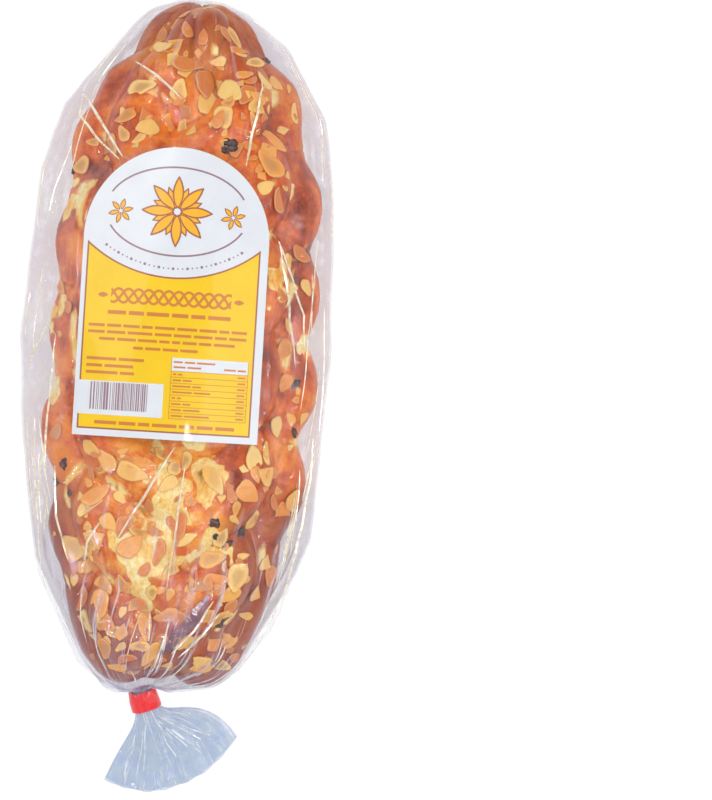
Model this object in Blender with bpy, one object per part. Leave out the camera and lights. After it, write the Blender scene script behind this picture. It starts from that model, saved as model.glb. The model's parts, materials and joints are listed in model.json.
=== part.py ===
"""A plaited Christmas loaf with flaked almonds and raisins, in a clear bag with a paper label.

The bag lies on the loaf's flat base. +Y points to the bag's closed end; the gathered neck, with its
band of tape and its fan of spare film, is at -Y. The origin is the centre of the loaf's base. The bag
and what it holds are one solid: the plait's strands, the almond flakes and the raisins are its relief,
and the film stands clear of the loaf along both side folds, at the neck and in the fan. The band of
tape and the paper label are solids of their own.
"""

import math
import random

import bmesh
import bpy
import numpy as np
from mathutils import Matrix, Vector
from mathutils.bvhtree import BVHTree

MM = 0.001

# The loaf: a wide plait below, a narrower one on top of it, and the crumb inside them.
LOAF_HALF_LENGTH = 155 * MM
# How the loaf narrows towards its closed end and its neck end: the power and the roundness.
TAPER_CLOSED_END = (3.0, 0.62)
TAPER_NECK_END = (2.0, 0.35)
TIP_SHIFT = -12 * MM
TIP_SHIFT_FROM = -134 * MM
TIP_SHIFT_LENGTH = 20 * MM
# For each plait: strands, strand radius, half width, height of the strands' middle, how far they rise
# and fall, spacing of the lobes, phase and half length.
LOWER_PLAIT = (3, 20.5 * MM, 62.5 * MM, 20.5 * MM, 1.5 * MM, 43 * MM, 0.33, 142 * MM)
UPPER_PLAIT = (3, 16.5 * MM, 47 * MM, 45.5 * MM, 3.0 * MM, 43 * MM, 2.2, 137 * MM)
PLAIT_MIDDLE = 4 * MM
CRUMB_RADIUS = 19 * MM
CRUMB_HEIGHT = 25 * MM
CRUMB_SIDES = (-38 * MM, 0.0, 38 * MM)
STRAND_STEPS = 110
STRAND_BLEND = 1.4 * MM

# The bag's side folds, seen from above: x and y in millimetres, from the closed end to the neck.
FOLD_RIGHT = (
    (2, 157), (24, 149), (39, 138), (58, 107), (64, 77), (67, -4), (63, -85), (48, -126), (39, -136),
    (20, -147), (-1.5, -155.5),
)
FOLD_LEFT = (
    (2, 157), (-18, 149), (-31, 138), (-58, 107), (-67, 77), (-71.5, 0), (-68, -45), (-58, -105),
    (-38, -144), (-26, -156), (-15.5, -158.5),
)
FOLD_HEIGHT = 21 * MM
FILM_CLING = 0.15
FILM_OVER_LOAF = 0.4 * MM
BASE_SHARE = 0.76
PLEATS_AT_NECK = 13
PLEAT_DEPTH_AT_NECK = 0.035

# The neck, the tape round it and the fan of spare film.
NECK_START = Vector((-8.6, -156.6, 14.6)) * MM
NECK_FINISH = Vector((-5.3, -166.3, 12.0)) * MM
NECK_HALF_WIDTH = (4.5 * MM, 5.3 * MM)
NECK_HALF_DEPTH = 3.8 * MM
NECK_GATHERS = 9
GATHER_DEPTH = 0.06
TAPE_WIDTH = 9.0 * MM
TAPE_THICKNESS = 0.9 * MM
TAPE_GAP = 0.3 * MM
TAPE_SIDES = 32
FAN_LENGTH = 38.5 * MM
FAN_LEFT = math.radians(-27.5)
FAN_RIGHT = math.radians(75)
FAN_CURL = math.radians(36)
FAN_PLEATS = 7
FAN_PLEAT_DEPTH = 2.2 * MM
FAN_THICKNESS = 2.8 * MM

# The label: a rectangle with a half-round top, bent over the loaf.
LABEL_HALF_WIDTH = 40.5 * MM
LABEL_CENTRE_X = -4.8 * MM
LABEL_FOOT_Y = -41.9 * MM
LABEL_ARCH_Y = 45.2 * MM
LABEL_THICKNESS = 0.5 * MM
LABEL_GAP = 0.4 * MM
LABEL_BEND_ACROSS = 4.3
LABEL_BEND_ALONG = 0.6
LABEL_PEAK_Y = 5 * MM
LABEL_MARGIN = 2 * MM
LABEL_SLOPE = 10 * MM
LABEL_COLUMNS = 16
LABEL_ROWS = 10

# The largest almond flakes: x, y, length and width in millimetres, and the turn in degrees. The rest
# are scattered by a rule, largest first.
LARGE_FLAKES = (
    (3, 116, 15, 10, 72), (18, -58, 18, 8, -52), (34, 82, 16, 9, -50), (15, 113, 13, 10, -44),
    (-18, -57, 15, 8, -16), (-5, 124, 17, 7, 16), (-33, -68, 15, 7, 34), (35, 93, 14, 8, -26),
    (-24, 113, 15, 7, 4), (-5, -137, 14, 7, 48), (1, -120, 14, 7, 18), (-28, -116, 13, 8, -76),
    (30.5, -101, 14, 10, 70), (33, -63, 12, 9, -35), (46, -101, 10, 8, 80),
)
SCATTERED_FLAKES = 54
SCATTERED_LENGTHS = (13.5, 7.0)
SCATTER_SEED = 24
SCATTER_TRIES = 12
SIDE_THINNING = 0.16
FLAKE_LABEL_CLEARANCE = 4.0
FLAKE_SIDES = 8
FLAKE_ABOVE = 0.8 * MM
FLAKE_BELOW = 0.7 * MM
# The raisins: x, y and size in millimetres.
RAISINS = (
    (16.5, 88.5, 9.5), (31.5, -81.5, 7.5), (23.5, -86.5, 6.5), (19.5, -77.5, 6.5), (-49, -56, 7), (-52, -64, 6),
    (52, -14, 6.5), (25, -121, 7), (53, -36, 6), (31, 133, 5), (-55, 78, 5.5),
)

# How finely the solid is faceted.
UPPER_COLUMNS = 28
LOWER_COLUMNS = 14
COLUMNS = UPPER_COLUMNS + LOWER_COLUMNS
SIDE_COLUMNS = 3
CAP_CENTRE = 100 * MM
STRAIGHT_ROWS = 46
CAP_ROWS = 12
NECK_CAP_LEAN = math.radians(78)
FAN_ROWS = 9


def smooth_step(value):
    """Rises from 0 to 1 with level ends."""
    t = np.clip(value, 0, 1)
    return t * t * (3 - 2 * t)


def taper(y):
    """The loaf's width along its length, as a share: 1 at the middle and 0 at the tips."""
    share = np.clip(np.abs(y) / LOAF_HALF_LENGTH, 0, 1)
    closed = (1 - share ** TAPER_CLOSED_END[0]) ** TAPER_CLOSED_END[1]
    neck = (1 - share ** TAPER_NECK_END[0]) ** TAPER_NECK_END[1]
    return np.where(np.asarray(y) > 0, closed, neck)


def plait(strands, radius, half_width, height, lift, pitch, phase, half_length):
    """Round beads along each strand of a flat plait: their centres and their radii."""
    y = PLAIT_MIDDLE + np.linspace(-1, 1, STRAND_STEPS) * half_length
    width = taper(y)
    middle = TIP_SHIFT * smooth_step((TIP_SHIFT_FROM - y) / TIP_SHIFT_LENGTH)
    centres, radii = [], []
    for k in range(strands):
        turn = 2 * math.pi * (y / (strands * pitch) + k / strands) + phase
        swell = 1 + 0.06 * np.sin(3.1 * turn + 1.7 * k) + 0.05 * np.sin(61 * y + 2.3 * k)
        bead = radius * (0.45 + 0.55 * width)
        reach = np.maximum(half_width * width - bead, 0)
        x = middle + reach * np.sin(turn)
        z = height * (0.45 + 0.55 * width) + lift * np.sin(2 * turn)
        centres.append(np.stack([x, y, z], axis=1))
        radii.append(bead * swell)
    return np.array(centres), np.array(radii)


def loaf_strands():
    """The beads of every strand of the loaf, one row for each strand."""
    groups = [plait(*LOWER_PLAIT), plait(*UPPER_PLAIT)]
    y = PLAIT_MIDDLE + np.linspace(-1, 1, STRAND_STEPS) * UPPER_PLAIT[-1]
    width = taper(y)
    for side in CRUMB_SIDES:
        line = np.stack([side * width, y, CRUMB_HEIGHT * (0.4 + 0.6 * width)], axis=1)
        groups.append((line[None], (CRUMB_RADIUS * (0.4 + 0.6 * width))[None]))
    return np.concatenate([g[0] for g in groups]), np.concatenate([g[1] for g in groups])


def loaf_reach(starts, ways, beads):
    """How far each ray runs before it leaves the loaf, whose strands have baked into one another."""
    centres, radii = beads
    reach = np.zeros((len(starts), len(centres)))
    for k in range(len(centres)):
        offset = centres[k][None] - starts[:, None]
        along = np.einsum("rbx,rx->rb", offset, ways)
        inside = along**2 - (offset**2).sum(axis=2) + radii[k] ** 2
        out = np.where(inside > 0, along + np.sqrt(np.maximum(inside, 0)), 0)
        reach[:, k] = np.maximum(out.max(axis=1), 0)
    most = reach.max(axis=1)
    blended = most + STRAND_BLEND * np.log(np.exp((reach - most[:, None]) / STRAND_BLEND).sum(axis=1))
    return blended


def neck_frame():
    """The neck's own directions: along it, across it and up."""
    along = (NECK_FINISH - NECK_START).normalized()
    side = Vector((0, 0, 1)).cross(along).normalized()
    up = along.cross(side).normalized()
    return along, side, up


def neck_ring(centre, half_width, half_depth, angles, gathers):
    """A loop of points round the neck."""
    _, side, up = neck_frame()
    wave = 1 + gathers * np.cos(NECK_GATHERS * angles)
    across = np.outer(np.cos(angles) * half_width * wave, side)
    above = np.outer(np.sin(angles) * half_depth * wave, up)
    return np.array(centre) + across + above


def row_rays():
    """The start, lean and end direction of every row of rays, from the closed end to the neck."""
    closed = Vector((0, 1, 0))
    to_neck = (NECK_START - Vector((0, -CAP_CENTRE, FOLD_HEIGHT))).normalized()
    rows = []
    for k in range(1, CAP_ROWS):
        rows.append((CAP_CENTRE, math.pi / 2 * (1 - k / CAP_ROWS), closed))
    for k in range(STRAIGHT_ROWS + 1):
        rows.append((CAP_CENTRE * (1 - 2 * k / STRAIGHT_ROWS), 0.0, closed))
    for k in range(1, CAP_ROWS + 1):
        rows.append((-CAP_CENTRE, NECK_CAP_LEAN * k / CAP_ROWS, to_neck))
    return rows


def fold_points():
    """Points along both side folds and round the neck, which the tight film passes through."""
    points = []
    for fold in (FOLD_RIGHT, FOLD_LEFT):
        for (xa, ya), (xb, yb) in zip(fold, fold[1:]):
            for share in (0, 0.25, 0.5, 0.75):
                x = xa + (xb - xa) * share
                y = ya + (yb - ya) * share
                points.append(Vector((x * MM, y * MM, FOLD_HEIGHT)))
    angles = np.linspace(0, 2 * math.pi, 12, endpoint=False)
    ring = neck_ring(NECK_START, NECK_HALF_WIDTH[0], NECK_HALF_DEPTH, angles, 0)
    return points + [Vector(p) for p in ring]


def taut_film(points):
    """A search tree of the shape that film takes when it is pulled tight over these points."""
    mesh = bmesh.new()
    for point in points:
        mesh.verts.new(point)
    bmesh.ops.convex_hull(mesh, input=mesh.verts)
    tree = BVHTree.FromBMesh(mesh)
    mesh.free()
    return tree


def film_share(ways):
    """How much the bag's surface follows the tight film: all of it at the side folds, little on top."""
    rise = np.arctan2(ways[:, 2], np.hypot(ways[:, 0], ways[:, 1]))
    over = smooth_step((rise - math.radians(8)) / math.radians(30))
    return 1 - (1 - FILM_CLING) * over


def label_distance(x, y):
    """How far a place seen from above is outside the label's outline. It is negative inside."""
    beside = np.abs(x - LABEL_CENTRE_X)
    square = np.maximum(beside - LABEL_HALF_WIDTH, LABEL_FOOT_Y - y)
    arch = np.hypot(beside, y - LABEL_ARCH_Y) - LABEL_HALF_WIDTH
    return np.where(y > LABEL_ARCH_Y, arch, square)


def label_drop(x, y):
    """How far the label's bent surface lies below its highest place."""
    return LABEL_BEND_ACROSS * (x - LABEL_CENTRE_X) ** 2 + LABEL_BEND_ALONG * (y - LABEL_PEAK_Y) ** 2


def under_side(right, left, centre):
    """A row's points under the bag: in from the left fold, along the table and out to the right fold."""
    edges = []
    for fold in (left, right):
        edge = centre + BASE_SHARE * (fold - centre)
        edge[2] = 0
        edges.append(edge)
    points = []
    for k in range(1, LOWER_COLUMNS):
        from_end = min(k, LOWER_COLUMNS - k)
        fold, edge = (left, edges[0]) if k < LOWER_COLUMNS / 2 else (right, edges[1])
        if from_end <= SIDE_COLUMNS:
            share = from_end / SIDE_COLUMNS
            point = fold + (edge - fold) * share
            point[2] = fold[2] * (1 - share) ** 1.25
        else:
            share = (k - SIDE_COLUMNS) / (LOWER_COLUMNS - 2 * SIDE_COLUMNS)
            point = edges[0] + (edges[1] - edges[0]) * share
        points.append(point)
    return np.array(points)


def body_rows():
    """The rows of points over the part of the bag that holds the loaf, and the point at its closed end."""
    beads = loaf_strands()
    angles = np.arange(UPPER_COLUMNS + 1) * math.pi / UPPER_COLUMNS
    rays = []
    for station, lean, end_way in row_rays():
        round_way = np.stack([np.cos(angles), 0 * angles, np.sin(angles)], axis=1)
        ways = round_way * math.cos(lean) + np.array(end_way) * math.sin(lean)
        ways /= np.linalg.norm(ways, axis=1)[:, None]
        starts = np.tile([0.0, station, FOLD_HEIGHT], (len(angles), 1))
        rays.append((starts, ways, lean if station < 0 else 0.0))
    loaf = [loaf_reach(starts, ways, beads) for starts, ways, _ in rays]
    skin = [s + w * r[:, None] for (s, w, _), r in zip(rays, loaf)]
    tree = taut_film([Vector(p) for p in np.concatenate(skin)] + fold_points())
    rows = []
    for (starts, ways, lean), reach in zip(rays, loaf):
        tight = np.array([tree.ray_cast(Vector(s), Vector(w))[3] or 0.0 for s, w in zip(starts, ways)])
        reach = np.minimum(reach, tight)
        out = reach + film_share(ways) * (tight - reach) + FILM_OVER_LOAF
        gathered = (lean / NECK_CAP_LEAN) ** 2
        out *= 1 - PLEAT_DEPTH_AT_NECK * gathered * (0.5 - 0.5 * np.cos(PLEATS_AT_NECK * 2 * angles))
        over = starts + ways * out[:, None]
        under = under_side(over[0], over[-1], starts[0])
        rows.append(np.concatenate([over, under]))
    pole = tree.ray_cast(Vector((0, CAP_CENTRE, FOLD_HEIGHT)), Vector((0, 1, 0)))[0]
    return pole, rows


def flatten_under_label(rows):
    """Lifts the film to the label that is stuck on it, and returns the height of the label's top."""
    points = np.concatenate(rows)
    points = points[points[:, 2] > FOLD_HEIGHT]
    under = points[label_distance(points[:, 0], points[:, 1]) < LABEL_MARGIN]
    peak = (under[:, 2] + label_drop(under[:, 0], under[:, 1])).max()
    for row in rows:
        x, y, z = row.T
        held = 1 - smooth_step((label_distance(x, y) - LABEL_MARGIN) / LABEL_SLOPE)
        held = np.where(z > FOLD_HEIGHT * 1.3, held, 0)
        lifted = np.maximum(z, peak - label_drop(x, y))
        row[:, 2] = z + held * (lifted - z)
    return peak + LABEL_GAP


def ring_angles():
    """The angles of the columns round the neck, from its right side over the top and back underneath."""
    over = np.arange(UPPER_COLUMNS) * math.pi / UPPER_COLUMNS
    under = math.pi + np.arange(LOWER_COLUMNS) * math.pi / LOWER_COLUMNS
    return np.concatenate([over, under])


def fan_rows(ring):
    """Rows of the spare film beyond the tape: a pleated fan that droops to the table."""
    angles = ring_angles()
    over = angles <= math.pi
    across = np.where(over, angles / math.pi, 2 - angles / math.pi)
    thick = np.where(over, 1, -1) * np.sqrt(np.maximum(0, 1 - (2 * across - 1) ** 4))
    pleats = np.cos(2 * math.pi * FAN_PLEATS * across) * (1 - (2 * across - 1) ** 8)
    along = np.array(neck_frame()[0])
    lowest = FAN_PLEAT_DEPTH + FAN_THICKNESS / 2 + 0.2 * MM
    rows = []
    for k in range(1, FAN_ROWS + 1):
        share = k / FAN_ROWS
        curl = FAN_CURL * (1 - share) * (1 - across) ** 2
        heading = FAN_RIGHT + curl + (FAN_LEFT - FAN_RIGHT) * across
        way = np.stack([np.sin(heading), -np.cos(heading), 0 * heading], axis=1)
        radius = FAN_LENGTH * share * (1 + 0.13 * (1 - across) ** 4)
        flat = np.array(NECK_FINISH) + way * radius[:, None]
        middle = lowest + (NECK_FINISH.z - lowest) * (1 - share) ** 1.6
        body = (NECK_HALF_DEPTH * (1 - share) ** 2 + FAN_THICKNESS / 2) * thick
        flat[:, 2] = middle + FAN_PLEAT_DEPTH * share**0.7 * pleats + body
        mix = smooth_step(share * 2.2)
        rows.append((ring + along * FAN_LENGTH * share) * (1 - mix) + flat * mix)
    return rows


def close_fan(mesh, loop):
    """Closes the fan's rim: each segment of its lower side faces two of its upper side."""
    top = loop[: UPPER_COLUMNS + 1]
    bottom = [loop[0]] + loop[:UPPER_COLUMNS:-1] + [loop[UPPER_COLUMNS]]
    for j in range(LOWER_COLUMNS):
        a, b, c = top[2 * j : 2 * j + 3]
        d, e = bottom[j : j + 2]
        for face in ((a, b, d), (b, e, d), (b, c, e)):
            if len(set(face)) == 3:
                mesh.faces.new(face)


def bag_mesh(pole, rows):
    """The bag and the loaf in it as one closed mesh, without toppings."""
    angles = ring_angles()
    rows = list(rows)
    rows.append(neck_ring(NECK_START, NECK_HALF_WIDTH[0], NECK_HALF_DEPTH, angles, GATHER_DEPTH))
    rows.append(neck_ring(NECK_FINISH, NECK_HALF_WIDTH[1], NECK_HALF_DEPTH, angles, GATHER_DEPTH))
    rows += fan_rows(rows[-1])
    mesh = bmesh.new()
    tip = mesh.verts.new(pole)
    loops = [[mesh.verts.new(p) for p in row] for row in rows]
    for j in range(COLUMNS):
        mesh.faces.new((tip, loops[0][j], loops[0][(j + 1) % COLUMNS]))
    for before, after in zip(loops, loops[1:]):
        for j in range(COLUMNS):
            i = (j + 1) % COLUMNS
            mesh.faces.new((before[j], after[j], after[i], before[i]))
    close_fan(mesh, loops[-1])
    bmesh.ops.recalc_face_normals(mesh, faces=mesh.faces)
    flat = [f for f in mesh.faces if all(abs(v.co.z) < 1e-7 for v in f.verts)]
    bmesh.ops.dissolve_faces(mesh, faces=flat)
    bmesh.ops.triangulate(mesh, faces=mesh.faces)
    return mesh


def almond_flakes():
    """Every flake's x, y, length, width and turn: the largest, then the others spread over the crust."""
    draw = random.Random(SCATTER_SEED)
    flakes = list(LARGE_FLAKES)
    longest, shortest = SCATTERED_LENGTHS
    for k in range(SCATTERED_FLAKES):
        length = longest + (shortest - longest) * (k / SCATTERED_FLAKES) ** 0.7
        best, most_room = None, -1.0
        tries = 0
        while tries < SCATTER_TRIES:
            x, y, chance = draw.uniform(-60, 60), draw.uniform(-148, 150), draw.random()
            if not on_open_crust(x, y, length, chance):
                continue
            tries += 1
            room = min(math.hypot(x - f[0], y - f[1]) - f[2] / 2 for f in flakes)
            if room > most_room:
                best, most_room = (x, y), room
        flakes.append((*best, length, length * draw.uniform(0.48, 0.72), draw.uniform(0, 180)))
    return flakes


def on_open_crust(x, y, length, chance):
    """Whether a flake may lie here: on the crust, off the label, and seldom on the smooth side lobes."""
    width = LOWER_PLAIT[2] / MM * float(taper(y * MM))
    if abs(x) > width - 7:
        return False
    if float(label_distance(x * MM, y * MM)) / MM < FLAKE_LABEL_CLEARANCE + length * 0.4:
        return False
    return abs(x) < 0.66 * width or chance < SIDE_THINNING


def surface_place(tree, x, y):
    """The bag's surface at a place seen from above: the point, and the way it faces nearby."""
    facing = Vector()
    for dx, dy in ((0, 0), (4, 0), (-4, 0), (0, 4), (0, -4)):
        point, normal, _, _ = tree.ray_cast(Vector(((x + dx) * MM, (y + dy) * MM, 0.2)), Vector((0, 0, -1)))
        if point is None:
            continue
        facing += normal
        if dx == 0 and dy == 0:
            middle = point
    return middle, facing.normalized()


def lying_frame(point, facing, turn):
    """A frame at a surface point: Z faces out of the surface and X is turned as seen from above."""
    heading = Vector((math.cos(turn), math.sin(turn), 0))
    along = (heading - facing * heading.dot(facing)).normalized()
    across = facing.cross(along)
    frame = Matrix((along, across, facing)).transposed().to_4x4()
    frame.translation = point
    return frame


def almond_flake(frame, length, width, index):
    """One thin flake: a pointed oval that lies on the surface and sinks a little into it."""
    mesh = bmesh.new()
    tilt = Matrix.Rotation(math.radians(5 * math.sin(2.4 * index)), 4, "Y")
    place = frame @ tilt
    loops = []
    for height in (-FLAKE_BELOW, FLAKE_ABOVE):
        loop = []
        for k in range(FLAKE_SIDES):
            angle = 2 * math.pi * (k + 0.5 * (index % 2)) / FLAKE_SIDES
            x = length / 2 * math.cos(angle)
            y = width / 2 * math.sin(angle) * (1 - 0.25 * math.cos(angle))
            loop.append(mesh.verts.new(place @ Vector((x, y, height))))
        loops.append(loop)
    mesh.faces.new(loops[0][::-1])
    mesh.faces.new(loops[1])
    for j in range(FLAKE_SIDES):
        i = (j + 1) % FLAKE_SIDES
        mesh.faces.new((loops[0][j], loops[0][i], loops[1][i], loops[1][j]))
    return mesh


def raisin(frame, size):
    """One raisin: a lump that lies half sunk in the crust."""
    mesh = bmesh.new()
    bmesh.ops.create_icosphere(mesh, subdivisions=2, radius=0.5)
    for vert in mesh.verts:
        lump = 1 + 0.10 * math.sin(9 * vert.co.x + 4) * math.cos(8 * vert.co.y)
        vert.co = frame @ (Vector((vert.co.x * size, vert.co.y * size * 0.8, vert.co.z * size * 0.6)) * lump)
    return mesh


def add_object(name, mesh, collection):
    """A new object in the collection from an editing mesh."""
    mesh.normal_update()
    bmesh.ops.recalc_face_normals(mesh, faces=mesh.faces)
    data = bpy.data.meshes.new(name)
    mesh.to_mesh(data)
    mesh.free()
    thing = bpy.data.objects.new(name, data)
    collection.objects.link(thing)
    return thing


def finish(thing, colour, roughness, crease):
    """Gives an object its material and its smooth shading."""
    material = bpy.data.materials.new(thing.name)
    material.use_nodes = True
    surface = material.node_tree.nodes["Principled BSDF"]
    surface.inputs["Base Color"].default_value = (*colour, 1)
    surface.inputs["Roughness"].default_value = roughness
    surface.inputs["Metallic"].default_value = 0
    thing.data.materials.clear()
    thing.data.materials.append(material)
    thing.data.shade_smooth()
    thing.data.set_sharp_from_angle(angle=math.radians(crease))


def fill_pockets(data):
    """Fills the sealed pockets under the toppings: only the largest connected surface is kept."""
    mesh = bmesh.new()
    mesh.from_mesh(data)
    left = set(mesh.faces)
    pieces = []
    while left:
        piece = {left.pop()}
        rim = list(piece)
        while rim:
            for edge in rim.pop().edges:
                for face in edge.link_faces:
                    if face in left:
                        left.remove(face)
                        piece.add(face)
                        rim.append(face)
        pieces.append(piece)
    pieces.sort(key=len)
    pockets = [face for piece in pieces[:-1] for face in piece]
    bmesh.ops.delete(mesh, geom=pockets, context="FACES")
    mesh.to_mesh(data)
    mesh.free()


def fuse_toppings(bag, tree):
    """Fuses the almond flakes and the raisins to the bag with one Boolean union."""
    toppings = bpy.data.collections.new("toppings")
    bpy.context.scene.collection.children.link(toppings)
    for index, (x, y, length, width, turn) in enumerate(almond_flakes()):
        frame = lying_frame(*surface_place(tree, x, y), math.radians(turn))
        add_object(f"flake_{index}", almond_flake(frame, length * MM, width * MM, index), toppings)
    for index, (x, y, size) in enumerate(RAISINS):
        frame = lying_frame(*surface_place(tree, x, y), 1.1 * index)
        add_object(f"raisin_{index}", raisin(frame, size * MM), toppings)
    union = bag.modifiers.new("toppings", "BOOLEAN")
    union.operation = "UNION"
    union.operand_type = "COLLECTION"
    union.collection = toppings
    bpy.context.view_layer.update()
    joined = bpy.data.meshes.new_from_object(bag.evaluated_get(bpy.context.evaluated_depsgraph_get()))
    bag.modifiers.remove(union)
    fill_pockets(joined)
    bag.data = joined
    for thing in list(toppings.objects):
        bpy.data.objects.remove(thing)
    bpy.data.collections.remove(toppings)


def label_mesh(top):
    """The paper label: a thin sheet with a half-round top, bent over the loaf."""
    mesh = bmesh.new()
    sheets = []
    for lift in (0, LABEL_THICKNESS):
        lines = []
        for k in range(LABEL_COLUMNS + 1):
            angle = math.pi * (k / LABEL_COLUMNS - 0.5)
            x = LABEL_CENTRE_X + LABEL_HALF_WIDTH * math.sin(angle)
            head = LABEL_ARCH_Y + LABEL_HALF_WIDTH * math.cos(angle)
            line = []
            for j in range(LABEL_ROWS + 1):
                y = LABEL_FOOT_Y + (head - LABEL_FOOT_Y) * j / LABEL_ROWS
                line.append(mesh.verts.new((x, y, top + lift - label_drop(x, y))))
            lines.append(line)
        sheets.append(lines)
    for lines in sheets:
        for a, b in zip(lines, lines[1:]):
            for j in range(LABEL_ROWS):
                mesh.faces.new((a[j], b[j], b[j + 1], a[j + 1]))
    low, high = (outline(lines) for lines in sheets)
    for j in range(len(low)):
        i = (j + 1) % len(low)
        mesh.faces.new((low[j], low[i], high[i], high[j]))
    return mesh


def outline(lines):
    """The points round the edge of a sheet made of lines."""
    foot = [line[0] for line in lines]
    head = [line[-1] for line in lines]
    return foot + lines[-1][1:] + head[-2::-1] + lines[0][-2:0:-1]


def tape_mesh():
    """The band of tape that holds the neck closed."""
    along, _, _ = neck_frame()
    middle = (NECK_START + NECK_FINISH) / 2
    angles = np.linspace(0, 2 * math.pi, TAPE_SIDES, endpoint=False)
    mesh = bmesh.new()
    loops = []
    for end in (-0.5, 0.5):
        centre = middle + along * TAPE_WIDTH * end
        share = (centre - NECK_START).length / (NECK_FINISH - NECK_START).length
        neck = NECK_HALF_WIDTH[0] + (NECK_HALF_WIDTH[1] - NECK_HALF_WIDTH[0]) * share
        for wall in (0, TAPE_THICKNESS):
            clear = TAPE_GAP + wall
            wide = neck * (1 + GATHER_DEPTH) + clear
            deep = NECK_HALF_DEPTH * (1 + GATHER_DEPTH) + clear
            loops.append([mesh.verts.new(p) for p in neck_ring(centre, wide, deep, angles, 0)])
    inner_a, outer_a, inner_b, outer_b = loops
    for a, b in ((inner_a, inner_b), (inner_b, outer_b), (outer_b, outer_a), (outer_a, inner_a)):
        for j in range(TAPE_SIDES):
            i = (j + 1) % TAPE_SIDES
            mesh.faces.new((a[j], a[i], b[i], b[j]))
    return mesh


def main():
    scene_collection = bpy.context.scene.collection
    pole, rows = body_rows()
    label_top = flatten_under_label(rows)
    mesh = bag_mesh(pole, rows)
    tree = BVHTree.FromBMesh(mesh)
    bag = add_object("bagged_loaf", mesh, scene_collection)
    fuse_toppings(bag, tree)
    label = add_object("label", label_mesh(label_top), scene_collection)
    tape = add_object("neck_tape", tape_mesh(), scene_collection)
    finish(bag, (0.56, 0.17, 0.06), 0.25, 40)
    finish(label, (1.0, 0.62, 0.03), 0.30, 30)
    finish(tape, (0.95, 0.03, 0.03), 0.30, 30)


for old in list(bpy.data.objects):
    bpy.data.objects.remove(old)
main()
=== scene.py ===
"""A plaited christmas loaf in its clear bag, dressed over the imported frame.

The loaf is a wide plait with a narrower one on top, glazed and strewn with flaked almonds, with a few
raisins showing. Over it come the bag's film with its folds, the printed label and the band of tape
round the neck. Sizes are in metres. Places on the pack as seen from above are in millimetres, and so is
the print.
"""

import json
import math
import random

import bmesh
import bpy
import numpy as np
from mathutils import Matrix, Vector, noise
from mathutils.bvhtree import BVHTree

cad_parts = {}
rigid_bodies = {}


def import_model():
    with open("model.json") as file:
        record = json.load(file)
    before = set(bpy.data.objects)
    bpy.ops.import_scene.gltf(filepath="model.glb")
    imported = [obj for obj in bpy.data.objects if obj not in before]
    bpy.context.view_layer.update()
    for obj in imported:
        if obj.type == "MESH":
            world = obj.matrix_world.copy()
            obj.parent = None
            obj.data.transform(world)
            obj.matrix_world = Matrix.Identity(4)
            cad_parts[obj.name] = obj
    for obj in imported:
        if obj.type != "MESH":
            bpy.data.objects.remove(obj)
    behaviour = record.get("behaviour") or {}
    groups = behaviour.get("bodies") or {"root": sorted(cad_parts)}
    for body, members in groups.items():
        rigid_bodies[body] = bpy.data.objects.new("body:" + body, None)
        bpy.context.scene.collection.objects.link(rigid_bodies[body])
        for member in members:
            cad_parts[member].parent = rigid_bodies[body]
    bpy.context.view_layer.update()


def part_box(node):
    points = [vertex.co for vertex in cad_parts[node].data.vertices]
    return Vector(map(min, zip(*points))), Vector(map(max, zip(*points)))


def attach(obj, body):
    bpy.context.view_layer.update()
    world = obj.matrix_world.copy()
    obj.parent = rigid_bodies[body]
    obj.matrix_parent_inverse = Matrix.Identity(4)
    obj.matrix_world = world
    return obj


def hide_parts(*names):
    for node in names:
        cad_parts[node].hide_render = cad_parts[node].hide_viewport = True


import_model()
LABEL_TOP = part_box("label")[1][2]

MM = 0.001
UP = Vector((0, 0, 1))
DOWN = Vector((0, 0, -1))
WHITE = (1.0, 1.0, 1.0, 1)

# The loaf: a wide plait below, a narrower one on top of it, and the crumb inside them.
LOAF_HALF_LENGTH = 155 * MM
# How the loaf narrows towards its closed end and its neck end: the power and the roundness.
TAPER_CLOSED_END = (3.0, 0.62)
TAPER_NECK_END = (2.0, 0.35)
TIP_SHIFT = -12 * MM
TIP_SHIFT_FROM = -134 * MM
TIP_SHIFT_LENGTH = 20 * MM
# For each plait: strands, strand radius, half width, height of the strands' middle, how far they rise
# and fall, spacing of the lobes, phase and half length.
LOWER_PLAIT = (3, 20.5 * MM, 62.5 * MM, 20.5 * MM, 1.5 * MM, 43 * MM, 0.33, 142 * MM)
UPPER_PLAIT = (3, 16.5 * MM, 47 * MM, 45.5 * MM, 3.0 * MM, 43 * MM, 2.2, 137 * MM)
PLAIT_MIDDLE = 4 * MM
CRUMB_RADIUS = 19 * MM
CRUMB_HEIGHT = 25 * MM
CRUMB_SIDES = (-38 * MM, 0.0, 38 * MM)
STRAND_STEPS = 110
STRAND_BLEND = 1.1 * MM
CRUST_INSET = 0.5 * MM
# How far the sides are drawn in at the closed end, left and right, as a share, and from where.
END_PINCH = (0.36, 0.22)
END_PINCH_FROM = 121 * MM
END_PINCH_LENGTH = 19 * MM
CRUST_FLOOR = 0.6 * MM
# How far the crust stays inside the film, on the rays that rise less than this.
CRUST_INSIDE_FILM = 0.6 * MM
TUCKED_RISE = 0.02
CRUST_COLUMNS = 216
CRUST_STRAIGHT_ROWS = 210
CRUST_CAP_ROWS = 44

# The pale torn dough in the middle of the neck end: the field in which its patches lie.
TORN_CENTRE = Vector((-7, -77)) * MM
TORN_HALF_WIDTH = 32 * MM
TORN_HALF_LENGTH = 56 * MM
# Pale patches beside the label: middle, half width and half length, in millimetres.
PALE_PATCHES = ((-55, 61, 9, 10), (-59, 12, 8, 11), (43, 30, 7, 12), (-56, -22, 5, 7), (57, 4, 5, 6))

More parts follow.
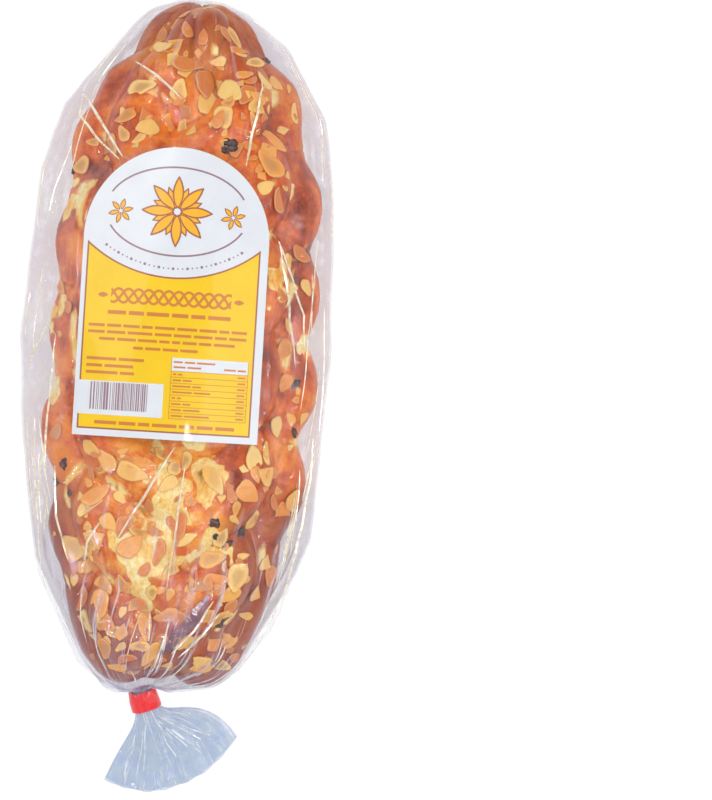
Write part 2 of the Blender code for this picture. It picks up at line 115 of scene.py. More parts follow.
# The bag's side folds, seen from above: x and y in millimetres, from the closed end to the neck.
FOLD_RIGHT = (
    (2, 157), (24, 149), (39, 138), (58, 107), (64, 77), (67, -4), (63, -85), (48, -126), (39, -136),
    (20, -147), (-1.5, -155.5),
)
FOLD_LEFT = (
    (2, 157), (-18, 149), (-31, 138), (-58, 107), (-67, 77), (-71.5, 0), (-68, -45), (-58, -105),
    (-38, -144), (-26, -156), (-15.5, -158.5),
)
FOLD_HEIGHT = 21 * MM
# How closely the film on top follows the tight skin, and how far it stands off what it lies on.
FILM_CLING = 0.15
FILM_OVER_LOAF = 1.3 * MM
FILM_OVER_BUMPS = 0.25 * MM
FILM_BLEND = 1.4 * MM
TENT_ROUNDS = 6
FILM_FLOOR = 0.15 * MM
BASE_SHARE = 0.76
UPPER_COLUMNS = 160
LOWER_COLUMNS = 48
COLUMNS = UPPER_COLUMNS + LOWER_COLUMNS
SIDE_COLUMNS = 12
CAP_CENTRE = 100 * MM
STRAIGHT_ROWS = 190
CAP_ROWS = 48
NECK_CAP_LEAN = math.radians(78)
FAN_ROWS = 48
FAN_COLUMNS = 132

# The neck, the tape round it and the fan of spare film.
NECK_START = Vector((-8.6, -156.6, 14.6)) * MM
NECK_FINISH = Vector((-5.3, -166.3, 12.0)) * MM
NECK_HALF_WIDTH = (4.5 * MM, 5.3 * MM)
NECK_HALF_DEPTH = 3.8 * MM
NECK_GATHERS = 9
GATHER_DEPTH = 0.06
TAPE_WIDTH = 9.0 * MM
TAPE_THICKNESS = 0.9 * MM
TAPE_GAP = 0.3 * MM
TAPE_SIDES = 96
FAN_LENGTH = 38.5 * MM
FAN_LEFT = math.radians(-27.5)
FAN_RIGHT = math.radians(75)
FAN_CURL = math.radians(36)
FAN_PLEAT_DEPTH = 2.2 * MM
FAN_THICKNESS = 2.8 * MM
# Its two layers: pleats above and below, share of the reach and of the body, and seed.
FAN_LAYERS = ((7, 6, 1.0, 1.0, 3), (9, 8, 0.985, 0.35, 8))

# The label: a rectangle with a half-round top, bent over the loaf.
LABEL_HALF_WIDTH = 40.5 * MM
LABEL_CENTRE_X = -4.8 * MM
LABEL_FOOT_Y = -41.9 * MM
LABEL_ARCH_Y = 45.2 * MM
LABEL_SHEET = 0.3 * MM
LABEL_BEND_ACROSS = 4.3
LABEL_BEND_ALONG = 0.6
LABEL_PEAK_Y = 5 * MM
LABEL_MARGIN = 2 * MM
LABEL_SLOPE = 10 * MM
LABEL_OVER_FILM = 0.12 * MM
LABEL_RISE_ALLOWED = 0.6 * MM

# The largest almond flakes: x, y, length and width in millimetres, and the turn in degrees. The rest
# are scattered by a rule, largest first.
LARGE_FLAKES = (
    (3, 116, 15, 10, 72), (18, -58, 18, 8, -52), (34, 82, 16, 9, -50), (15, 113, 13, 10, -44),
    (-18, -57, 15, 8, -16), (-5, 124, 17, 7, 16), (-33, -68, 15, 7, 34), (35, 93, 14, 8, -26),
    (-24, 113, 15, 7, 4), (-5, -137, 14, 7, 48), (1, -120, 14, 7, 18), (-28, -116, 13, 8, -76),
    (30.5, -101, 14, 10, 70), (33, -63, 12, 9, -35), (46, -101, 10, 8, 80),
)
# The rest: how many, the longest and the shortest, and how many places are tried for each.
SCATTERED_FLAKES = 54
SCATTERED_LENGTHS = (13.5, 7.0)
SCATTER_SEED = 24
FLAKE_SEED = 7
RAISIN_SEED = 12
SECOND_RAISINS = 6
SCATTER_TRIES = 12
SIDE_THINNING = 0.16
FLAKE_LABEL_CLEARANCE = 4.0
FLAKE_THICKNESS = 0.9 * MM
# The raisins: x, y and size in millimetres.
RAISINS = (
    (16.5, 88.5, 9.5), (31.5, -81.5, 7.5), (23.5, -86.5, 6.5), (19.5, -77.5, 6.5), (-49, -56, 7),
    (-52, -64, 6), (52, -14, 6.5), (25, -121, 7), (53, -36, 6), (31, 133, 5), (-55, 78, 5.5),
)
# The strewn flakes: shortest, longest, least spacing, most to a square metre, and the seed.
MEDIUM_FLAKES = (8 * MM, 14 * MM, 6.5 * MM, 14000.0, 5)
BROKEN_FLAKES = (3 * MM, 7.5 * MM, 3.4 * MM, 20000.0, 8)

# The label's printed panel, in millimetres, and its rows of bars: from and to, height above the label's
# zero, size, count and seed.
PANEL_SIDES = (-38.6, 37.0)
PANEL_FOOT = -39.0
PANEL_DIP = 28.8
PANEL_DIP_RADIUS = 56.8
PRINTED_LINES = (
    (-28.0, 25.5, 12.2, 1.7, 6, 4), (-36, 33, 6.4, 1.25, 9, 10), (-36, 33, 3.5, 1.25, 8, 11),
    (-31, 28, 0.5, 1.25, 8, 12), (-16, 12, -2.9, 1.25, 4, 13), (-36, -11, -8.2, 1.3, 2, 20),
    (-36, -15.5, -11.2, 1.3, 2, 21), (-36, -15, -14.2, 1.3, 2, 22), (-31, 30, -35.9, 1.5, 7, 30),
)
PAPER_WHITE = (0.75, 0.78, 0.835)
INKS = (
    ("yellow_ink", (0.90, 0.58, 0.009)), ("brown_ink", (0.40, 0.13, 0.07)), ("text_ink", (0.64, 0.22, 0.04)),
    ("mauve_ink", (0.33, 0.20, 0.24)), ("gold_ink", (0.95, 0.47, 0.03)), ("white_ink", PAPER_WHITE),
)
YELLOW, BROWN, TEXT, MAUVE, GOLD, WHITE_INK = range(len(INKS))

# The film of the bag and of the fan: how milky it is all over, where it is slack and in its streaks, its
# tint, the two colours of its haze, and the sizes of its crinkles and crumples.
CLEAR_FILM = (
    0.0, 0.50, 0.62, (0.985, 0.985, 0.99), ((0.62, 0.64, 0.95), (0.72, 0.77, 0.92)), 6 * MM, 16 * MM,
)
GATHERED_FILM = (
    0.05, 0.18, 0.46, (0.835, 0.868, 0.925), ((0.66, 0.75, 0.90), (0.80, 0.86, 0.86)), 4 * MM, 9 * MM,
)

# The camera and the photograph's frame.
FRAME_PIXELS = (712, 800)
SENSOR = 36.0
CAMERA_HEIGHT = 1.2
CAMERA_OVER = Vector((0.0, -24.3)) * MM
MM_PER_PIXEL = 0.45
MIDDLE_HEIGHT = 35 * MM
PACK_PIXEL_X = 178
PACK_LEAN = math.radians(3.5)

# The lights: place, the place that each faces, size, power, colour, and whether it lights the pack up or
# only shows in the gloss.
SOFTBOXES = (
    ("key_light", (-0.6, 0.4, 1.2), (0, 0, 0.03), (0.9, 0.9), 6.9, (1, 0.98, 0.94), True),
    ("fill_light", (0.75, -0.1, 1.1), (0, 0, 0.03), (0.6, 0.9), 4.7, (1, 0.97, 0.94), True),
    ("strip_light", (0.28, -0.225, 1.15), (0, -0.04, 0.05), (0.02, 0.25), 1.6, (1, 1, 1), True),
    ("left_strip", (-1.0, 0.1, 0.5), (0, 0, 0.05), (0.05, 0.6), 3.0, (1, 1, 1), False),
    ("right_strip", (1.0, 0.0, 0.5), (0, 0, 0.05), (0.05, 0.6), 2.5, (1, 1, 1), False),
    ("spark_light", (-0.15, 0.5, 1.2), (0, 0, 0.05), (0.025, 0.025), 2.4, (1, 0.98, 0.9), False),
    ("low_spark", (0.12, -0.5, 1.2), (0, -0.05, 0.05), (0.025, 0.025), 2.4, (0.9, 0.9, 1), False),
    ("violet_light", (-0.72, -0.42, 0.62), (0, -0.05, 0.05), (0.12, 0.12), 4, (0.66, 0.64, 1.0), False),
)


def smooth_step(value, start=0, length=1):
    """Rises from 0 to 1 with level ends, from a start over a length."""
    t = np.clip((value - start) / length, 0, 1)
    return t * t * (3 - 2 * t)


def noise_field(points, size, seed):
    """Smooth noise from -1 to 1 at each point, with features of about the given size."""
    shift = Vector((seed * 7.31, seed * 3.17, seed * 5.77))
    return np.array([noise.noise(Vector(p) / size + shift) for p in points])


def grid_faces(rows, columns, with_tips=False):
    """The faces between rows of points round the axis, and up to the two last points at its tips."""
    faces = []
    last, tip = (rows - 1) * columns, rows * columns
    for a in range(0, last, columns):
        b = a + columns
        for j in range(columns):
            k = (j + 1) % columns
            faces.append((a + j, b + j, b + k, a + k))
    for j in range(columns if with_tips else 0):
        k = (j + 1) % columns
        faces.append((tip, j, k))
        faces.append((tip + 1, last + k, last + j))
    return faces


def put_in_scene(name, data):
    """A new object with this data."""
    thing = bpy.data.objects.new(name, data)
    bpy.context.scene.collection.objects.link(thing)
    return thing


def mesh_object(name, points, faces):
    """A new object from points and faces, with its faces turned to point outwards."""
    data = bpy.data.meshes.new(name)
    data.from_pydata([tuple(p) for p in points], [], faces)
    data.update()
    mesh = bmesh.new()
    mesh.from_mesh(data)
    bmesh.ops.recalc_face_normals(mesh, faces=mesh.faces)
    mesh.to_mesh(data)
    mesh.free()
    data.shade_smooth()
    return put_in_scene(name, data)


def kept_mesh(name, mesh, *finishes):
    """A new object from a mesh whose points and faces were added one by one."""
    data = bpy.data.meshes.new(name)
    mesh.to_mesh(data)
    mesh.free()
    for finish in finishes:
        data.materials.append(finish)
    return put_in_scene(name, data)


def kept_result(thing, modifier):
    """Keeps what a modifier makes of an object as its plain mesh."""
    bpy.context.view_layer.update()
    graph = bpy.context.evaluated_depsgraph_get()
    result = bpy.data.meshes.new_from_object(thing.evaluated_get(graph), depsgraph=graph)
    thing.modifiers.remove(modifier)
    thing.data = result
    result.shade_smooth()
    return thing


def store(thing, **fields):
    """Stores fields on an object's mesh, one number for each point."""
    for name, values in fields.items():
        attribute = thing.data.attributes.new(name, "FLOAT", "POINT")
        attribute.data.foreach_set("value", np.asarray(values, dtype=np.float32))


def joined_tree(things):
    """A search tree over several objects."""
    mesh = bmesh.new()
    for thing in things:
        mesh.from_mesh(thing.data)
    tree = BVHTree.FromBMesh(mesh)
    mesh.free()
    return tree


def from_above(tree, x, y):
    """The point and the facing of the surface that lies under a place seen from above, if there is one."""
    return tree.ray_cast(Vector((x, y, 0.2)), DOWN)[:2]


class Field:
    """One output in a node tree, on which plain arithmetic can be written."""

    def __init__(self, wiring, socket):
        self.wiring = wiring
        self.socket = socket

    def sums(self, operation, first, second):
        """One sum on two values."""
        return self.wiring.node("ShaderNodeMath", 0, {0: first, 1: second}, operation=operation)

    def __add__(self, other):
        return self.sums("ADD", self, other)

    def __mul__(self, other):
        return self.sums("MULTIPLY", self, other)

    def __truediv__(self, other):
        return self.sums("DIVIDE", self, other)

    def __rsub__(self, other):
        return self.sums("SUBTRACT", other, self)

    __radd__ = __add__
    __rmul__ = __mul__

    def most(self, other):
        """The larger of two values."""
        return self.sums("MAXIMUM", self, other)

    def beside(self, name):
        """Another output of the same node."""
        return Field(self.wiring, self.socket.node.outputs[name])

    def ramp(self, *stops):
        """Colours or shades by value: stops are positions with a linear colour or a shade."""
        colour = self.wiring.node("ShaderNodeValToRGB", "Color", {"Fac": self})
        elements = colour.socket.node.color_ramp.elements
        while len(elements) < len(stops):
            elements.new(0.5)
        for element, (position, shade) in zip(elements, stops):
            element.position = position
            element.color = (*shade, 1) if isinstance(shade, tuple) else (shade, shade, shade, 1)
        return colour


class Wiring:
    """A node tree that is written in short calls."""

    def __init__(self, tree):
        self.tree = tree

    def node(self, kind, output=0, links=None, **settings):
        """Adds a node with its settings, links or sets its inputs, and gives back one of its outputs."""
        made = self.tree.nodes.new(kind)
        for key, value in settings.items():
            setattr(made, key, value)
        for socket, value in (links or {}).items():
            if isinstance(value, Field):
                self.tree.links.new(value.socket, made.inputs[socket])
            else:
                made.inputs[socket].default_value = value
        return Field(self, made.outputs[output]) if len(made.outputs) else None


def taper(y):
    """The loaf's width along its length, as a share: 1 at the middle and 0 at the tips."""
    share = np.clip(np.abs(y) / LOAF_HALF_LENGTH, 0, 1)
    closed = (1 - share ** TAPER_CLOSED_END[0]) ** TAPER_CLOSED_END[1]
    neck = (1 - share ** TAPER_NECK_END[0]) ** TAPER_NECK_END[1]
    return np.where(np.asarray(y) > 0, closed, neck)


def plait(strands, radius, half_width, height, lift, pitch, phase, half_length):
    """Round beads along each strand of a flat plait: their centres and their radii."""
    y = PLAIT_MIDDLE + np.linspace(-1, 1, STRAND_STEPS) * half_length
    width = taper(y)
    middle = TIP_SHIFT * smooth_step(TIP_SHIFT_FROM - y, 0, TIP_SHIFT_LENGTH)
    centres, radii = [], []
    for k in range(strands):
        turn = 2 * math.pi * (y / (strands * pitch) + k / strands) + phase
        swell = 1 + 0.06 * np.sin(3.1 * turn + 1.7 * k) + 0.05 * np.sin(61 * y + 2.3 * k)
        bead = radius * (0.45 + 0.55 * width)
        reach = np.maximum(half_width * width - bead, 0)
        x = middle + reach * np.sin(turn)
        z = height * (0.45 + 0.55 * width) + lift * np.sin(2 * turn)
        centres.append(np.stack([x, y, z], axis=1))
        radii.append(bead * swell)
    return np.array(centres), np.array(radii)


def loaf_strands():
    """The beads of every strand of the loaf, one row for each strand."""
    groups = [plait(*LOWER_PLAIT), plait(*UPPER_PLAIT)]
    y = PLAIT_MIDDLE + np.linspace(-1, 1, STRAND_STEPS) * UPPER_PLAIT[-1]
    width = taper(y)
    for side in CRUMB_SIDES:
        line = np.stack([side * width, y, CRUMB_HEIGHT * (0.4 + 0.6 * width)], axis=1)
        groups.append((line[None], (CRUMB_RADIUS * (0.4 + 0.6 * width))[None]))
    return np.concatenate([g[0] for g in groups]), np.concatenate([g[1] for g in groups])


def loaf_reach(starts, ways, beads, blend=STRAND_BLEND):
    """How far each ray runs before it leaves the loaf, and by how much its strand stands over the next."""
    centres, radii = beads
    reach = np.zeros((len(starts), len(centres)))
    for k in range(len(centres)):
        offset = centres[k][None] - starts[:, None]
        along = np.einsum("rbx,rx->rb", offset, ways)
        inside = along**2 - (offset**2).sum(axis=2) + radii[k] ** 2
        out = np.where(inside > 0, along + np.sqrt(np.maximum(inside, 0)), 0)
        reach[:, k] = np.maximum(out.max(axis=1), 0)
    most = reach.max(axis=1)
    blended = most + blend * np.log(np.exp((reach - most[:, None]) / blend).sum(axis=1))
    strands = np.sort(reach[:, :6], axis=1)
    return blended, strands[:, -1] - strands[:, -2]


def floor_reach(starts, ways, floor):
    """How far each ray runs before it meets the flat base at this height."""
    down = np.minimum(ways[:, 2], -1e-9)
    return (floor - starts[:, 2]) / down


def fan_of_ways(angles, lean, end_way):
    """Directions at these angles round the loaf's axis that all lean towards one of its ends."""
    ways = np.stack([np.cos(angles), 0 * angles, np.sin(angles)], axis=1) * math.cos(lean)
    return ways + np.array(end_way) * math.sin(lean)


def crust_rays():
    """Every ray from the loaf's axis out through its crust, ring by ring, with a lone ray at each end."""
    starts, ways = [], []
    leans = [math.pi / 2 * (1 - k / CRUST_CAP_ROWS) for k in range(1, CRUST_CAP_ROWS)]
    rings = [(CAP_CENTRE, lean, (0, 1, 0)) for lean in leans]
    for k in range(CRUST_STRAIGHT_ROWS + 1):
        rings.append((CAP_CENTRE * (1 - 2 * k / CRUST_STRAIGHT_ROWS), 0.0, (0, 1, 0)))
    rings += [(-CAP_CENTRE, lean, (0, -1, 0)) for lean in leans[::-1]]
    angles = np.arange(CRUST_COLUMNS) * 2 * math.pi / CRUST_COLUMNS
    for station, lean, end_way in rings:
        ways.append(fan_of_ways(angles, lean, end_way))
        starts.append(np.tile([0.0, station, FOLD_HEIGHT], (CRUST_COLUMNS, 1)))
    starts.append(np.array([(0.0, CAP_CENTRE, FOLD_HEIGHT), (0.0, -CAP_CENTRE, FOLD_HEIGHT)]))
    ways.append(np.array([(0.0, 1.0, 0.0), (0.0, -1.0, 0.0)]))
    return len(rings), np.concatenate(starts), np.concatenate(ways)


def torn_share(points):
    """How much of the pale torn dough, and of the golden dough round it, shows at each point."""
    x = (points[:, 0] - TORN_CENTRE.x - 0.16 * (points[:, 1] - TORN_CENTRE.y)) / TORN_HALF_WIDTH
    y = (points[:, 1] - TORN_CENTRE.y) / TORN_HALF_LENGTH
    near = 1 - np.hypot(x, y)
    drawn = points * np.array([1.0, 0.55, 1.0])
    patches = noise_field(drawn, 13 * MM, 3) + 0.5 * noise_field(drawn, 5 * MM, 5)
    high = points[:, 2] > 25 * MM
    torn = smooth_step((near * 1.5 + 1.5 * patches - 0.68) / 0.24) * high
    golden = smooth_step((near * 1.5 + 0.6 * patches + 0.05) / 0.8) * high
    return torn, golden


def opened_share(rough, over_next, beside):
    """How far the dough lies open at each point: along its seams, and in pale patches beside the label."""
    high = rough[:, 2] > 12 * MM
    open_patches = smooth_step(noise_field(rough, 15 * MM, 21) + 0.16 * beside, 0.08, 0.3) * high
    opened = np.exp(-over_next / (4.5 * MM)) * open_patches
    ragged = 1.1 * noise_field(rough, 6 * MM, 15)
    for x, y, half_width, half_length in PALE_PATCHES:
        off = np.hypot((rough[:, 0] / MM - x) / half_width, (rough[:, 1] / MM - y) / half_length)
        patch = smooth_step((1.05 - off + ragged) / 0.7) * (rough[:, 2] > 8 * MM)
        opened = np.maximum(opened, 0.9 * patch)
    return opened


def baked_share(points, beside):
    """How dark the crust is at each point: baked most at its ends, and darker low down, towards the neck end
    and beside the torn dough.
    """
    x, y, z = points.T
    away = np.abs(y) / LOAF_HALF_LENGTH
    bake = smooth_step(away, 0.64, 0.34) * 0.55 + 0.3 * noise_field(points, 38 * MM, 8) - 0.08 * beside
    bake = bake + 0.12 * smooth_step(22 * MM - z, 0, 20 * MM)
    bake = bake + 0.16 * smooth_step(-98 * MM - y, 0, 30 * MM)
    aside = smooth_step(np.abs(x - TORN_CENTRE.x), 22 * MM, 16 * MM)
    bake = bake + 0.62 * aside * smooth_step(-50 * MM - y, 0, 25 * MM)
    return np.clip(0.35 + bake, 0, 1)


def make_crust(beads):
    """The loaf itself: plaited, glazed and torn pale along its seams."""
    rings, starts, ways = crust_rays()
    reach, over_next = loaf_reach(starts, ways, beads)
    rough = starts + ways * reach[:, None]
    seam = np.exp(-over_next / (1.8 * MM))
    torn, golden = torn_share(rough)
    ragged = noise_field(rough, 3.2 * MM, 11) * np.clip(seam * 0.7 + torn * 0.5, 0, 1)
    lumps = noise_field(rough, 17 * MM, 2)
    reach = reach - CRUST_INSET + 0.55 * MM * lumps - 0.9 * MM * seam**2 + 0.45 * MM * ragged
    reach = np.minimum(reach, floor_reach(starts, ways, CRUST_FLOOR))
    points = starts + ways * reach[:, None]
    pinch = smooth_step(points[:, 1], END_PINCH_FROM, END_PINCH_LENGTH)
    points[:, 0] *= 1 - pinch * np.where(points[:, 0] < 0, *END_PINCH)
    crust = mesh_object("crust", points, grid_faces(rings, CRUST_COLUMNS, with_tips=True))
    beside = smooth_step(np.abs(rough[:, 0]), 34 * MM, 8 * MM) * (np.abs(rough[:, 1]) < 76 * MM)
    # The seam field shapes the grooves and also carries painted shade into their colour.
    store(
        crust, seam=seam, opened=opened_share(rough, over_next, beside), torn=torn, golden=golden,
        crown=1 - np.exp(-over_next / (10 * MM)), bake=baked_share(points, beside),
    )
    return crust


def tuck_into_bag(crust, film_tree):
    """Draws the loaf's lower side in where it would stand through the film that runs in to the table."""
    _, starts, ways = crust_rays()
    for vertex, start, way in zip(crust.data.vertices, starts, ways):
        start, way = Vector(start), Vector(way)
        far = film_tree.ray_cast(start, way)[3] if way.z < TUCKED_RISE else None
        if far is not None:
            vertex.co = start + way * min((vertex.co - start).length, far - CRUST_INSIDE_FILM)
    crust.data.update()


def label_distance(x, y):
    """How far a place seen from above is outside the label's outline. It is negative inside."""
    beside = np.abs(x - LABEL_CENTRE_X)
    square = np.maximum(beside - LABEL_HALF_WIDTH, LABEL_FOOT_Y - y)
    arch = np.hypot(beside, y - LABEL_ARCH_Y) - LABEL_HALF_WIDTH
    return np.where(y > LABEL_ARCH_Y, arch, square)


def almond_flakes():
    """Every flake's x, y, length, width and turn: the largest, then the others spread over the crust."""
    draw = random.Random(SCATTER_SEED)
    flakes = list(LARGE_FLAKES)
    longest, shortest = SCATTERED_LENGTHS
    for k in range(SCATTERED_FLAKES):
        length = longest + (shortest - longest) * (k / SCATTERED_FLAKES) ** 0.7
        best, most_room = None, -1.0
        tries = 0
        while tries < SCATTER_TRIES:
            x, y, chance = draw.uniform(-60, 60), draw.uniform(-148, 150), draw.random()
            if not on_open_crust(x, y, length, chance):
                continue
            tries += 1
            room = min(math.hypot(x - f[0], y - f[1]) - f[2] / 2 for f in flakes)
            if room > most_room:
                best, most_room = (x, y), room
        flakes.append((*best, length, length * draw.uniform(0.48, 0.72), draw.uniform(0, 180)))
    return flakes


def on_open_crust(x, y, length, chance):
    """Whether a flake may lie here: on the crust, off the label, and seldom on the smooth side lobes."""
    width = LOWER_PLAIT[2] / MM * float(taper(y * MM))
    if abs(x) > width - 7:
        return False
    if float(label_distance(x * MM, y * MM)) / MM < FLAKE_LABEL_CLEARANCE + length * 0.4:
        return False
    return abs(x) < 0.66 * width or chance < SIDE_THINNING


def surface_place(tree, x, y):
    """The crust at a place seen from above: the point, and the way it faces nearby."""
    while from_above(tree, x * MM, y * MM)[0] is None:
        x, y = 0.98 * x, 0.99 * y
    facing = Vector()
    for dx, dy in ((0, 0), (4, 0), (-4, 0), (0, 4), (0, -4)):
        point, normal = from_above(tree, (x + dx) * MM, (y + dy) * MM)
        if point is not None:
            facing += normal
    return from_above(tree, x * MM, y * MM)[0], facing.normalized()


def lying_frame(point, facing, turn):
    """A frame at a surface point: Z faces out of the surface and X is turned as seen from above."""
    heading = Vector((math.cos(turn), math.sin(turn), 0))
    along = (heading - facing * heading.dot(facing)).normalized()
    across = facing.cross(along)
    frame_there = Matrix((along, across, facing)).transposed().to_4x4()
    frame_there.translation = point
    return frame_there


def flake_shape(name, outline, cup):
    """One kind of flake, a unit long, a unit wide and a unit thick: a thin cupped sheet of almond."""
    sides = len(outline)
    rings = (0.0, 0.55, 0.86, 1.0)
    points, rims = [], []
    for top in (1, -1):
        for share in rings:
            for x, y in outline if share else outline[:1]:
                bowl = cup * ((x * share) ** 2 + 0.6 * (y * share) ** 2)
                edge = 0.5 if share < 1 else 0.28
                points.append((x * share, y * share, bowl + top * edge))
                rims.append(share)
    half = 1 + 3 * sides
    faces = []
    for first, flip in ((0, False), (half, True)):
        for j in range(sides):
            k = (j + 1) % sides
            ring = [(first, first + 1 + j, first + 1 + k)]
            for level in range(2):
                a = first + 1 + level * sides
                b = a + sides
                ring.append((a + j, b + j, b + k, a + k))
            faces += [face[::-1] for face in ring] if flip else ring
    low = 1 + 2 * sides
    for j in range(sides):
        k = (j + 1) % sides
        faces.append((low + j, low + k, half + low + k, half + low + j))
    thing = mesh_object(name, points, faces)
    store(thing, rim=rims)
    return thing


def flake_kinds():
    """The kinds of flake in a collection of their own: pointed ovals, round ones and broken ones."""
    kinds = bpy.data.collections.new("flake kinds")
    bpy.context.scene.collection.children.link(kinds)
    sides = 18
    for index in range(6):
        outline = []
        for k in range(sides):
            angle = 2 * math.pi * k / sides
            wobble = 1 + 0.05 * math.sin(3 * angle + index) + 0.04 * math.sin(5 * angle + 2 * index)
            x = 0.5 * math.cos(angle)
            y = 0.5 * math.sin(angle) * (1 - 0.30 * math.cos(angle))
            if index == 3:
                x = max(x, -0.16 + 0.10 * y)
            if index == 4:
                x = min(max(x, -0.30), 0.20 + 0.25 * y)
                y = min(y, 0.30)
            if index == 5:
                y = max(y, -0.12 + 0.3 * x)
            outline.append((x * wobble, y * wobble))
        cup = (0.9, -0.8, 1.4, 0.6, -0.4, 0.8)[index]
        kind = flake_shape(f"flake_kind_{index}", outline, cup)
        bpy.context.scene.collection.objects.unlink(kind)
        kinds.objects.link(kind)
    return kinds


def drop_kinds(kinds):
    """Removes the flakes that the others were copied from, and their collection."""
    for thing in list(kinds.objects):
        bpy.data.objects.remove(thing)
    bpy.data.collections.remove(kinds)


class FlakeTree(Wiring):
    """A Geometry Nodes tree with named inputs that puts flakes on points, for each kind of rule."""

    def __init__(self, name, **inputs):
        super().__init__(bpy.data.node_groups.new(name, "GeometryNodeTree"))
        sides = self.tree.interface
        self.sockets = {}
        sides.new_socket("Geometry", in_out="INPUT", socket_type="NodeSocketGeometry")
        for label, kind in {"Flakes": "Collection", "Finish": "Material", **inputs}.items():
            socket = sides.new_socket(label, in_out="INPUT", socket_type="NodeSocket" + kind)
            self.sockets[label] = socket.identifier
        sides.new_socket("Geometry", in_out="OUTPUT", socket_type="NodeSocketGeometry")
        self.entry = self.node("NodeGroupInput")

    def named(self, attribute, kind):
        """A named attribute of the points."""
        return self.node("GeometryNodeInputNamedAttribute", 0, {"Name": attribute}, data_type=kind)

    def chance(self, low, high, seed, kind="FLOAT"):
        """A random value between two others, by a fixed seed."""
        output = ("FLOAT_VECTOR", "FLOAT", "INT").index(kind)
        links = {2 * output: low, 2 * output + 1: high, 8: seed}
        return self.node("FunctionNodeRandomValue", output, links, data_type=kind)

    def rotation(self, angles):
        """A rotation from three angles."""
        return self.node("FunctionNodeEulerToRotation", 0, {0: angles})

    def flakes_on(self, points, kind, turn, size):
        """A flake on each point."""
        kinds = self.node("GeometryNodeCollectionInfo", 0, {
            "Collection": self.entry.beside("Flakes"), "Separate Children": True, "Reset Children": True,
        })
        return self.node("GeometryNodeInstanceOnPoints", 0, {
            "Points": points, "Instance": kinds, "Pick Instance": True, "Instance Index": kind,
            "Rotation": turn, "Scale": size,
        })

    def end(self, flakes):
        """Makes the flakes real and gives them their finish."""
        real = self.node("GeometryNodeRealizeInstances", 0, {"Geometry": flakes})
        finish = self.entry.beside("Finish")
        dressed = self.node("GeometryNodeSetMaterial", 0, {"Geometry": real, "Material": finish})
        self.node("NodeGroupOutput", 0, {0: dressed})
        return self

    def grow(self, thing, values):
        """Runs the tree on an object and keeps the result."""
        modifier = thing.modifiers.new(self.tree.name, "NODES")
        modifier.node_group = self.tree
        for label, value in values.items():
            modifier[self.sockets[label]] = value
        return kept_result(thing, modifier)


def placing_tree():
    """A tree that puts a flake on each point, by the point's own kind, turn and size."""
    tree = FlakeTree("place flakes")
    dots = tree.node("GeometryNodeMeshToPoints", 0, {"Mesh": tree.entry.beside("Geometry")})
    turn = tree.rotation(tree.named("turn", "FLOAT_VECTOR"))
    return tree.end(tree.flakes_on(dots, tree.named("kind", "INT"), turn, tree.named("size", "FLOAT_VECTOR")))


def scattering_tree():
    """A tree that strews broken flakes over the crust where its attribute allows them."""
    tree = FlakeTree(
        "strew broken flakes", Spacing="Float", Density="Float", Smallest="Float", Largest="Float",
        Thickness="Float", Seed="Int",
    )
    given = tree.entry.beside
    links = {
        "Mesh": given("Geometry"), "Distance Min": given("Spacing"), "Density Max": given("Density"),
        "Density Factor": tree.named("strewn", "FLOAT"), "Seed": given("Seed"),
    }
    dots = tree.node("GeometryNodeDistributePointsOnFaces", "Points", links, distribute_method="POISSON")
    length = tree.chance(given("Smallest"), given("Largest"), 4)
    width = length * tree.chance(0.45, 0.8, 5)
    size = tree.node("ShaderNodeCombineXYZ", 0, {"X": length, "Y": width, "Z": given("Thickness")})
    flakes = tree.flakes_on(dots, tree.chance(0, 5, 3, "INT"), dots.beside("Rotation"), size)
    spin = tree.rotation(tree.chance((-0.16, -0.16, 0.0), (0.16, 0.16, 6.28), 6, "FLOAT_VECTOR"))
    links = {"Instances": flakes, "Rotation": spin, "Local Space": True}
    flakes = tree.node("GeometryNodeRotateInstances", 0, links)
    for name, seed in (("tone", 7), ("clear", 9)):
        links = {"Geometry": flakes, "Name": name, "Value": tree.chance(0.0, 1.0, seed)}
        flakes = tree.node("GeometryNodeStoreNamedAttribute", 0, links, data_type="FLOAT", domain="INSTANCE")
    return tree.end(flakes)


def make_flakes(crust_tree, kinds, finish):
    """The almond flakes that are large enough to be in the solid as well."""
    draw = random.Random(FLAKE_SEED)
    spots, turns, sizes, which, tones, clears = [], [], [], [], [], []
    for index, (x, y, length, width, turn) in enumerate(almond_flakes()):
        there = lying_frame(*surface_place(crust_tree, x, y), math.radians(turn))
        tilt = Matrix.Rotation(math.radians(5 * math.sin(2.4 * index)), 4, "Y")
        flip = Matrix.Rotation(math.pi * draw.randint(0, 1), 4, "Z")
        there = there @ tilt @ flip
        spots.append(there @ Vector((0, 0, 0.35 * MM)))
        turns.append(tuple(there.to_euler()))
        sizes.append((length * MM, width * MM, FLAKE_THICKNESS))
        which.append(draw.choice((0, 0, 1, 1, 2, 2, 3, 5)) if index >= len(LARGE_FLAKES) else index % 3)
        tones.append(draw.random())
        clears.append(draw.random())
    data = bpy.data.meshes.new("almond_flakes")
    data.from_pydata(spots, [], [])
    for name, kind, key, values in (
        ("turn", "FLOAT_VECTOR", "vector", turns), ("size", "FLOAT_VECTOR", "vector", sizes),
        ("kind", "INT", "value", which), ("tone", "FLOAT", "value", tones),
        ("clear", "FLOAT", "value", clears),
    ):
        attribute = data.attributes.new(name, kind, "POINT")
        attribute.data.foreach_set(key, np.array(values).ravel())
    thing = put_in_scene("almond_flakes", data)
    return placing_tree().grow(thing, {"Flakes": kinds, "Finish": finish})


